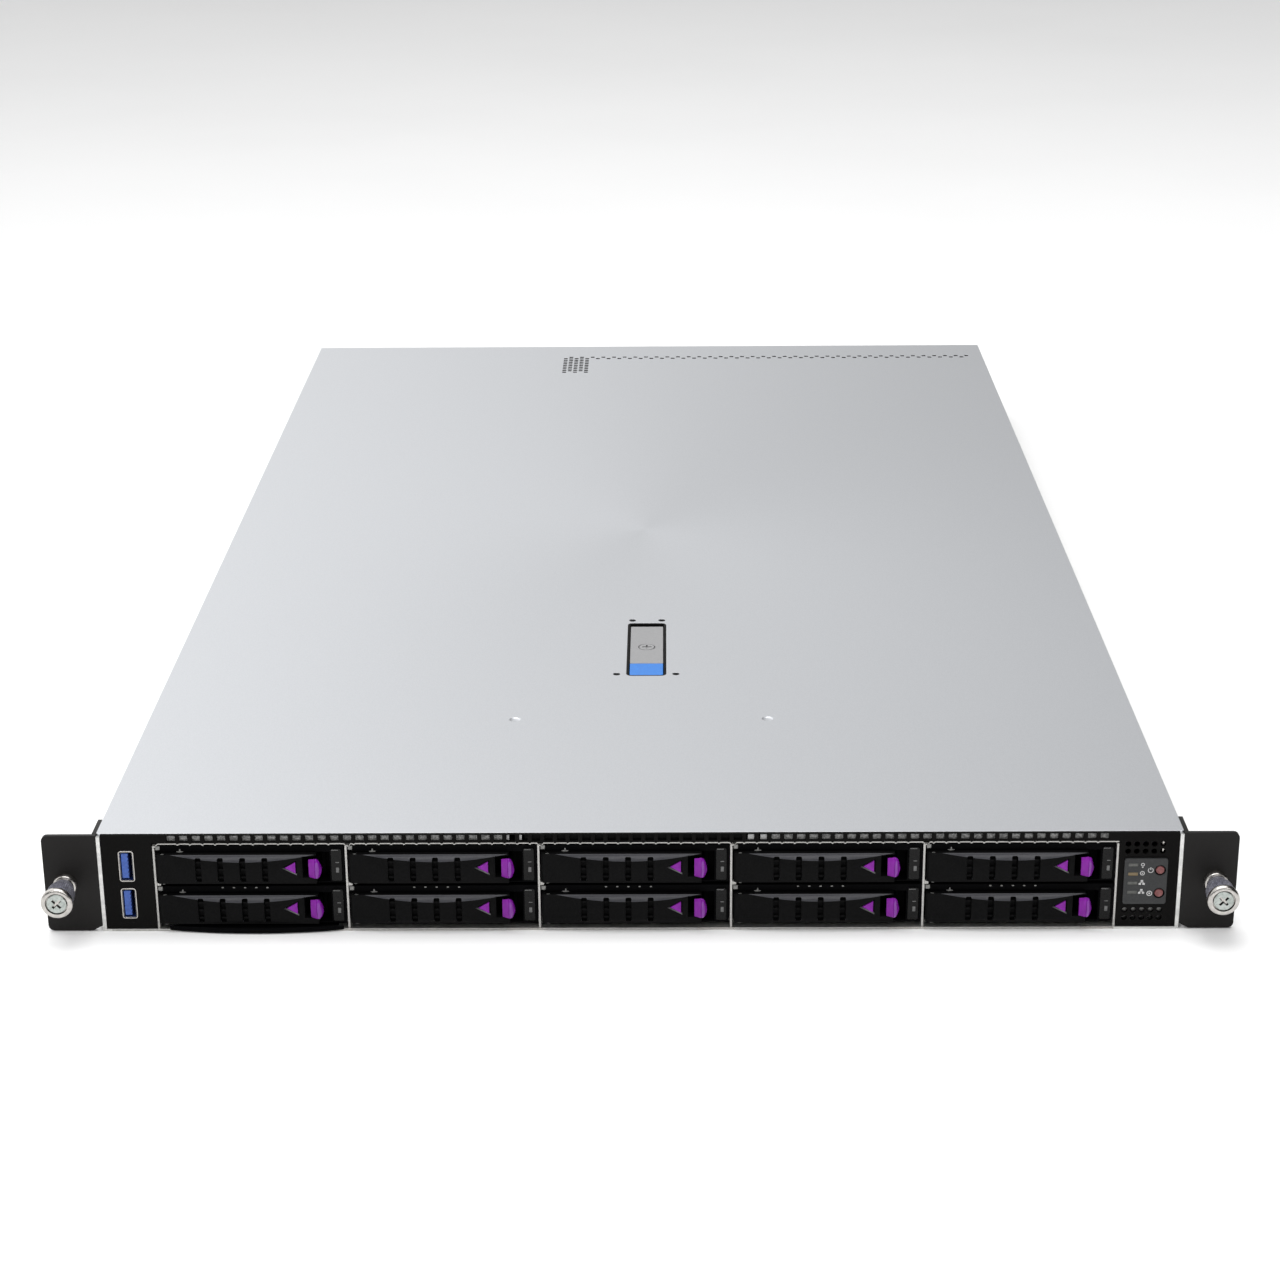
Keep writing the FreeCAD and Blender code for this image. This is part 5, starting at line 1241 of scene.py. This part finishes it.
def psu_inlet(name, x, z, face):
    """Mains inlet: a black socket with three blades."""
    back = face - 14.8
    bm = bmesh.new()
    slab(bm, pill(x, z, 11.9, 8.4, 2.4, 4), "XZ", back, face + 0.6, [pill(x, z, 10.6, 7.1, 1.8, 4)])
    slab(bm, pill(x, z, 11, 7.5, 1.8, 4), "XZ", back, back + 1.3)
    piece(name + "_inlet", bm, socket_black, name, "black_plastic", bevel=0.2)
    bm = bmesh.new()
    for across, rise in ((-7.0, 1.5), (7.0, 1.5), (0.0, -2.5)):
        block(bm, x + across - 1, x + across + 1, face - 14, face - 4, z + rise - 2, z + rise + 2)
    piece(name + "_blades", bm, nickel, name, "bright_nickel", bevel=0.25)


def psu_guard(name, x, z, face):
    """Wire rings on two crossed bars, before the dark of the fan."""
    half = guard_wire / 2
    bm = bmesh.new()
    for ring in range(4):
        radius = psu_fan_radius - 1.2 - 3.7 * ring
        slab(bm, disc(x, z, radius + half, 48), "XZ", face - 1.0, face - 0.1, [disc(x, z, radius - half, 48)])
    reach = psu_fan_radius + 0.2
    for turn in (45, 135):
        angle = math.radians(turn)
        cos, sin = math.cos(angle), math.sin(angle)
        bar = ((-reach, 0.5), (-reach, -0.5), (reach, -0.5), (reach, 0.5))
        outline = [(x + u * cos - v * sin, z + u * sin + v * cos) for u, v in bar]
        slab(bm, outline, "XZ", face - 1.9, face - 1.0)
    piece(name + "_guard", bm, nickel, name, "bright_nickel", bevel=0.2)
    bm = bmesh.new()
    lathe(bm, [(0, -1.9), (psu_fan_radius - 0.3, -1.9), (psu_fan_radius - 0.3, -1.97), (0, -1.97)],
          (x, face, z), "Y", 48)
    piece(name + "_fan_shade", bm, slot_black, name, "black_plastic")


def psu_bail(name, left, right, z, face, reach):
    """Round-cornered loop of a bail handle over the inlet."""
    foot, bar = face - 0.4, psu_bail_bar
    outer = [(left, foot)] + bail_bow(left, right, reach) + [(right, foot)]
    inner = [(left + bar, foot)] + bail_bow(left + bar, right - bar, reach - bar) + [(right - bar, foot)]
    bm = bmesh.new()
    slab(bm, outer + inner[::-1], "XY", z, z + bar)
    piece(name + "_bail", bm, black_plastic, name, "black_plastic", bevel=1.1, segments=3)


def bail_bow(x0, x1, far, radius=4.0):
    """The two far corners of the loop, from left to right."""
    points = []
    for cx, start in ((x0 + radius, 180), (x1 - radius, 90)):
        for k in range(6):
            angle = math.radians(start - 90 * k / 5)
            points.append((cx + radius * math.cos(angle), far - radius + radius * math.sin(angle)))
    return points


def module_places():
    """Middles of the memory modules, six on each side of each processor."""
    places = []
    for x in (-processor_x, processor_x):
        for side in (-1, 1):
            first = x + side * (bank_from_sink + 2.5 * memory_pitch)
            places += [first + (k - 2.5) * memory_pitch for k in range(6)]
    return places


def motherboard():
    """Board sheet, stepped round the power supplies, with the riser card on it."""
    low, high = corners("motherboard")
    z = low.z + board_sheet
    left, step_y, far = low.x + board_notch, rear - psu_length - board_past_psu, rear - board_rear_gap
    riser_y = rear - riser_from_rear
    bm = bmesh.new()
    slab(bm, [(low.x, low.y), (high.x, low.y), (high.x, far), (left, far), (left, step_y), (low.x, step_y)],
         "XY", low.z, z)
    block(bm, riser_x - 0.8, riser_x + 0.8, riser_y + 3, riser_y + riser_length - 3, z + 9, cover_top - 6)
    piece("board_sheet", bm, board, "chassis", "board_green", bevel=0.1, replaces=("motherboard",))
    board_sockets(z, front + processor_y, riser_y)
    board_parts(left, low.y, z)


def board_sockets(z, middle, riser_y):
    """Processor frames, memory sockets with their clips, and the riser's sockets."""
    frames, sockets, clips = bmesh.new(), bmesh.new(), bmesh.new()
    for x in (-processor_x, processor_x):
        block(frames, x - frame_half, x + frame_half, middle - frame_half, middle + frame_half, z, z + 5.6)
    for x in module_places():
        block(sockets, x - 3.0, x + 3.0, middle - socket_half, middle + socket_half, z, z + 5.9)
        for y in (middle - clip_place, middle + clip_place):
            block(clips, x - 1.6, x + 1.6, y - 1.4, y + 1.4, z + 5.5, z + 13)
    block(sockets, riser_x - 4, riser_x + 4, riser_y, riser_y + riser_length, z, z + 9)
    block(sockets, riser_x + 0.8, riser_x + 9, riser_y + 12, riser_y + 101, z + 15, z + 23)
    piece("board_sockets", sockets, socket_black, "chassis", "black_plastic", bevel=0.25)
    piece("socket_clips", clips, latch_grey, "chassis", "latch_grey", bevel=0.3)
    piece("processor_frames", frames, nickel, "chassis", "zinc_steel", bevel=0.4)


def board_parts(left, near, z):
    """Chips and cans behind, coils and cans in front of the processors."""
    chips, cans, coils = bmesh.new(), bmesh.new(), bmesh.new()
    for row in range(3):
        for k in range(9):
            x, y = left + 16 + 13.5 * k, rear - 46 - 24 * row
            if (row + k) % 3:
                block(chips, x - 3.5, x + 3.5, y - 3.0, y + 3.0, z, z + 1.2)
            else:
                lathe(cans, [(0, 0), (3.1, 0), (3.1, 0.8), (2.9, 1.0), (2.9, 6.2), (2.6, 6.6), (0, 6.6)],
                      (x, y, z), "Z", 24)
    block(chips, left + 40, left + 62, rear - 143, rear - 121, z, z + 1.8)
    for middle in (-processor_x, processor_x):
        for k in range(5):
            x = middle - 24 + 12 * k
            block(coils, x - 3.6, x + 3.6, near + 12, near + 19, z, z + 4.5)
            lathe(cans, [(0, 0), (3.1, 0), (3.1, 5.8), (2.8, 6.2), (0, 6.2)], (x, near + 30, z), "Z", 24)
    piece("board_chips", chips, chip_black, "chassis", "black_plastic", bevel=0.15)
    piece("board_cans", cans, aluminium, "chassis", "sink_aluminium")
    piece("board_coils", coils, tab_steel_and_glints, "chassis", "zinc_steel", bevel=0.4)


def rear_sockets():
    """Metal-shelled network and USB sockets and a blue video connector along the board's rear edge."""
    low = corners("motherboard")[0]
    left, z, face = low.x + board_notch, low.z + board_sheet, rear + socket_past_rear
    shells, insides = bmesh.new(), bmesh.new()
    network_sockets(shells, insides, [left + across for across in network_places], z, face)
    usb_stack(shells, insides, left + usb_stack_place, z, face)
    video_socket(shells, insides, left + video_place, z + 6.2, face)
    piece("rear_shells", shells, nickel, "chassis", "bright_nickel", bevel=0.15)
    piece("rear_insides", insides, socket_black, "chassis", "black_plastic", bevel=0.1)


def network_sockets(shells, insides, places, z, face):
    """Square shells with a stepped mouth and eight leads under its roof."""
    leads = bmesh.new()
    middle = z + network_height / 2
    half = [(5.9, -4.1), (5.9, 2.2), (3.2, 2.2), (3.2, 4.1)]
    for x in places:
        mouth = [(x + u, middle + v) for u, v in half] + [(x - u, middle + v) for u, v in half[::-1]]
        slab(shells, rounded(x - 8, x + 8, z, z + network_height, 0.5, 2), "XZ", face - 21, face, [mouth])
        slab(insides, rounded(x - 7.5, x + 7.5, z + 0.5, z + network_height - 0.5, 0.4, 2), "XZ",
             face - 14.5, face - 13.8)
        for k in range(8):
            lead = x - 3.6 + 1.02 * k
            block(leads, lead - 0.2, lead + 0.2, face - 10, face - 2.5, middle + 1.6, middle + 2.0)
    piece("rear_contacts", leads, brass, "chassis", "bright_nickel")


def usb_stack(shells, insides, x, z, face):
    """Two USB sockets in one shell, with blue tongues."""
    mouth = rounded(x - 6.3, x + 6.3, z + 1, z + 14.6, 0.6, 3)
    slab(shells, rounded(x - 7.3, x + 7.3, z, z + 15.6, 0.8, 3), "XZ", face - 18, face, [mouth])
    slab(shells, rounded(x - 6.3, x + 6.3, z + 7.3, z + 8.3, 0.2, 2), "XZ", face - 9, face - 0.3)
    slab(insides, rounded(x - 6.9, x + 6.9, z + 0.5, z + 15, 0.6, 3), "XZ", face - 9.5, face - 9)
    tongues = bmesh.new()
    for low in (z + 4.3, z + 11.5):
        slab(tongues, rounded(x - 5.4, x + 5.4, low, low + 1.9, 0.3, 2), "XZ", face - 9, face - 1)
    piece("rear_usb_tongues", tongues, usb_blue, "chassis", "latch_blue", bevel=0.15)


def video_socket(shells, insides, x, middle, face):
    """Tapered video shell round a blue plug with fifteen holes, between two hexagonal posts."""
    taper = ((-8.3, 3.9), (-7.0, -3.9), (7.0, -3.9), (8.3, 3.9))
    outer, mouth, plug_outline = [[(x + u * width, middle + v * height) for u, v in taper]
                                  for width, height in ((1, 1), (0.93, 0.86), (0.92, 0.84))]
    slab(insides, pill(x, middle, 15.5, 6.2, 0.6, 3), "XZ", face - 12, face)
    slab(shells, outer, "XZ", face, face + 5.4, [mouth])
    holes = []
    for row in range(3):
        for k in range(5):
            shift = 0.5 if row == 1 else 0
            holes.append(disc(x - 4.2 + 2.1 * k + shift, middle - 2 + 2 * row, 0.45, 12))
    plug = bmesh.new()
    slab(plug, plug_outline, "XZ", face - 0.2, face + 4.9, holes)
    piece("video_plug", plug, usb_blue, "chassis", "latch_blue", bevel=0.1)
    for post in (x - 12.4, x + 12.4):
        slab(shells, disc(post, middle, 2.4, 6), "XZ", face, face + 5.0, [disc(post, middle, 1.2, 16)])


def memory():
    """Memory modules: green cards with chips on both faces and gilt contacts."""
    low, high = corners("memory_modules")
    cards, chips, contacts = bmesh.new(), bmesh.new(), bmesh.new()
    half = card_sheet / 2
    for x in module_places():
        block(cards, x - half, x + half, low.y, high.y, low.z, high.z)
        block(contacts, x - half - 0.05, x + half + 0.05, low.y + 3, high.y - 3, low.z, low.z + 2.2)
        for k in range(10):
            y = low.y + 7 + memory_chip_pitch * k
            block(chips, x - 1.28, x + 1.28, y, y + memory_chip_width, low.z + 5, low.z + 16)
    piece("memory_cards", cards, memory_look, "chassis", "memory_green", bevel=0.1,
          replaces=("memory_modules",))
    piece("memory_chips", chips, chip_black, "chassis", "black_plastic", bevel=0.1)
    piece("memory_contacts", contacts, brass, "chassis", "bright_nickel")


def blade(bm, turn):
    """One twisted, cambered blade, from inside the hub to its tip."""
    rings = []
    root = rotor_hub - 1.0
    for i in range(7):
        radius = root + (rotor_tip - root) * i / 6
        pitch = math.radians(52 - 16 * i / 6)
        ring = []
        for side, stations in ((-0.5, range(9)), (0.5, range(8, -1, -1))):
            for j in stations:
                share = j / 8 - 0.5
                chord = blade_chord * share
                camber = 1.8 * (1 - 4 * share * share) + side * 0.9 * (1.1 - 2 * abs(share))
                angle = turn + (chord * math.cos(pitch) + camber * math.sin(pitch)) / radius
                along = rotor_depth / 2 + chord * math.sin(pitch) - camber * math.cos(pitch)
                ring.append(bm.verts.new((radius * math.cos(angle), along, radius * math.sin(angle))))
        rings.append(ring)
    for first, second in zip(rings, rings[1:]):
        for k in range(-1, len(first) - 1):
            bm.faces.new((first[k], first[k + 1], second[k + 1], second[k]))
    for ring in (rings[0], rings[-1]):
        for k in range(8):
            bm.faces.new((ring[k], ring[k + 1], ring[-2 - k], ring[-1 - k]))


def fan_rotors():
    """Six rotors of one mesh: a hub with five blades."""
    bm = bmesh.new()
    lathe(bm, [(0, 0.2), (3.0, 0), (rotor_hub - 1.2, 0), (rotor_hub, 1.2), (rotor_hub, rotor_depth),
               (0, rotor_depth)], (0, 0, 0), "Y", 48)
    for k in range(5):
        blade(bm, 2 * math.pi * (k + 0.25) / 5)
    mesh = to_mesh("rotor", bm, fan_black)
    for number in range(1, 7):
        name = "fan_rotor_%d" % number
        low, high = corners(name)
        at = ((low.x + high.x) / 2, low.y, (low.z + high.z) / 2)
        add("rotor_%d" % number, mesh, name, "fan_black", at=at, replaces=(name,))


# ================================================================ carried-over CAD nodes
def dress_frame():
    """Materials and softened edges for the CAD nodes that stay."""
    looks = {"chassis_base": zinc, "drive_backplane": board, "fan_frames": fan_black, "heat_sinks": aluminium}
    for name, look in looks.items():
        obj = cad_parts[name]
        obj.data.materials.clear()
        obj.data.materials.append(look)
    soften(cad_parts["chassis_base"], 0.2, weld=True)


# ================================================================ room, light and camera
def room():
    """Surroundings that are brightest high up behind the server and to its left."""
    world = bpy.data.worlds.new("room")
    world.use_nodes = True
    nodes, links = world.node_tree.nodes, world.node_tree.links
    coords, parts = nodes.new("ShaderNodeTexCoord"), nodes.new("ShaderNodeSeparateXYZ")
    links.new(coords.outputs["Generated"], parts.inputs["Vector"])
    strength = None
    for axis, low, high, at_low, at_high in (("X", -0.5, 0.5, 2.0, 0.05), ("Y", -0.6, 0.3, 0.08, 1.0),
                                             ("Z", 0.0, 0.6, 0.62, 0.90)):
        shade = nodes.new("ShaderNodeMapRange")
        shade.inputs["From Min"].default_value = low
        shade.inputs["From Max"].default_value = high
        shade.inputs["To Min"].default_value = at_low
        shade.inputs["To Max"].default_value = at_high
        links.new(parts.outputs[axis], shade.inputs["Value"])
        if strength:
            product = nodes.new("ShaderNodeMath")
            product.operation = "MULTIPLY"
            links.new(strength, product.inputs[0])
            links.new(shade.outputs["Result"], product.inputs[1])
            strength = product.outputs[0]
        else:
            strength = shade.outputs["Result"]
    links.new(strength, nodes["Background"].inputs["Strength"])
    nodes["Background"].inputs["Color"].default_value = (1.0, 1.0, 1.0, 1)
    bpy.context.scene.world = world


def studio():
    """Pale floor and three soft lights in a bright room."""
    bm = bmesh.new()
    slab(bm, [(-6000, -5000), (6000, -5000), (6000, 9000), (-6000, 9000)], "XY", -2.0, -0.01)
    ground = finish("floor_look", (0.93, 0.93, 0.93), (0.95, 0.95, 0.95), 0.9, grain=3, bump=0)
    floor = bpy.data.objects.new("floor", to_mesh("floor", bm, ground))
    bpy.context.scene.collection.objects.link(floor)
    room()
    lamps = (("key", (-0.1, -1.9, 1.4), (0, 0.1, 0), (3.0, 1.1), 22, (1, 1, 1)),
             ("fill", (0.9, -1.8, 0.9), (0, -0.35, 0.02), (1.2, 1.2), 2, (1.0, 0.98, 0.95)),
             ("top", (0, -0.4, 2.4), (0, -0.4, 0.0), (2.2, 2.2), 48, (1.0, 1.0, 1.0)))
    for name, place, target, size, power, colour in lamps:
        data = bpy.data.lights.new(name, "AREA")
        data.shape = "RECTANGLE"
        data.size, data.size_y = size
        data.energy = power
        data.color = colour
        lamp = bpy.data.objects.new(name, data)
        lamp.location = place
        lamp.rotation_euler = (Vector(target) - Vector(place)).to_track_quat("-Z", "Y").to_euler()
        bpy.context.scene.collection.objects.link(lamp)


def camera():
    """Long lens above and in front of the server, a little to its right."""
    yaw, pitch, roll = math.radians(0.64), math.radians(20.83), math.radians(-0.435)
    data = bpy.data.cameras.new("camera")
    data.lens = 76.15
    data.sensor_width = 36
    data.clip_start = 0.05
    data.clip_end = 30
    view = bpy.data.objects.new("camera", data)
    turn = Matrix.Rotation(yaw, 4, "Z") @ Matrix.Rotation(math.pi / 2 - pitch, 4, "X") @ \
        Matrix.Rotation(roll, 4, "Z")
    view.matrix_world = Matrix.Translation(Vector((12.1, -1374.4, 502.9)) * MM) @ turn
    bpy.context.scene.collection.objects.link(view)
    bpy.context.scene.camera = view


camera()
cover()
latch_tub()
latch_handle()
latch_lock()
front_sheet()
bottom_edge()
vent_screens()
panel_vent_backs()
usb_sockets()
control_panel()
button_caps()
panel_icons()
rack_ears()
thumbscrews()
info_tag()
drive_cage()
drives()
power_supply("psu_1")
power_supply("psu_2")
motherboard()
rear_sockets()
memory()
fan_rotors()
dress_frame()
studio()
bpy.context.scene.view_settings.view_transform = "Standard"
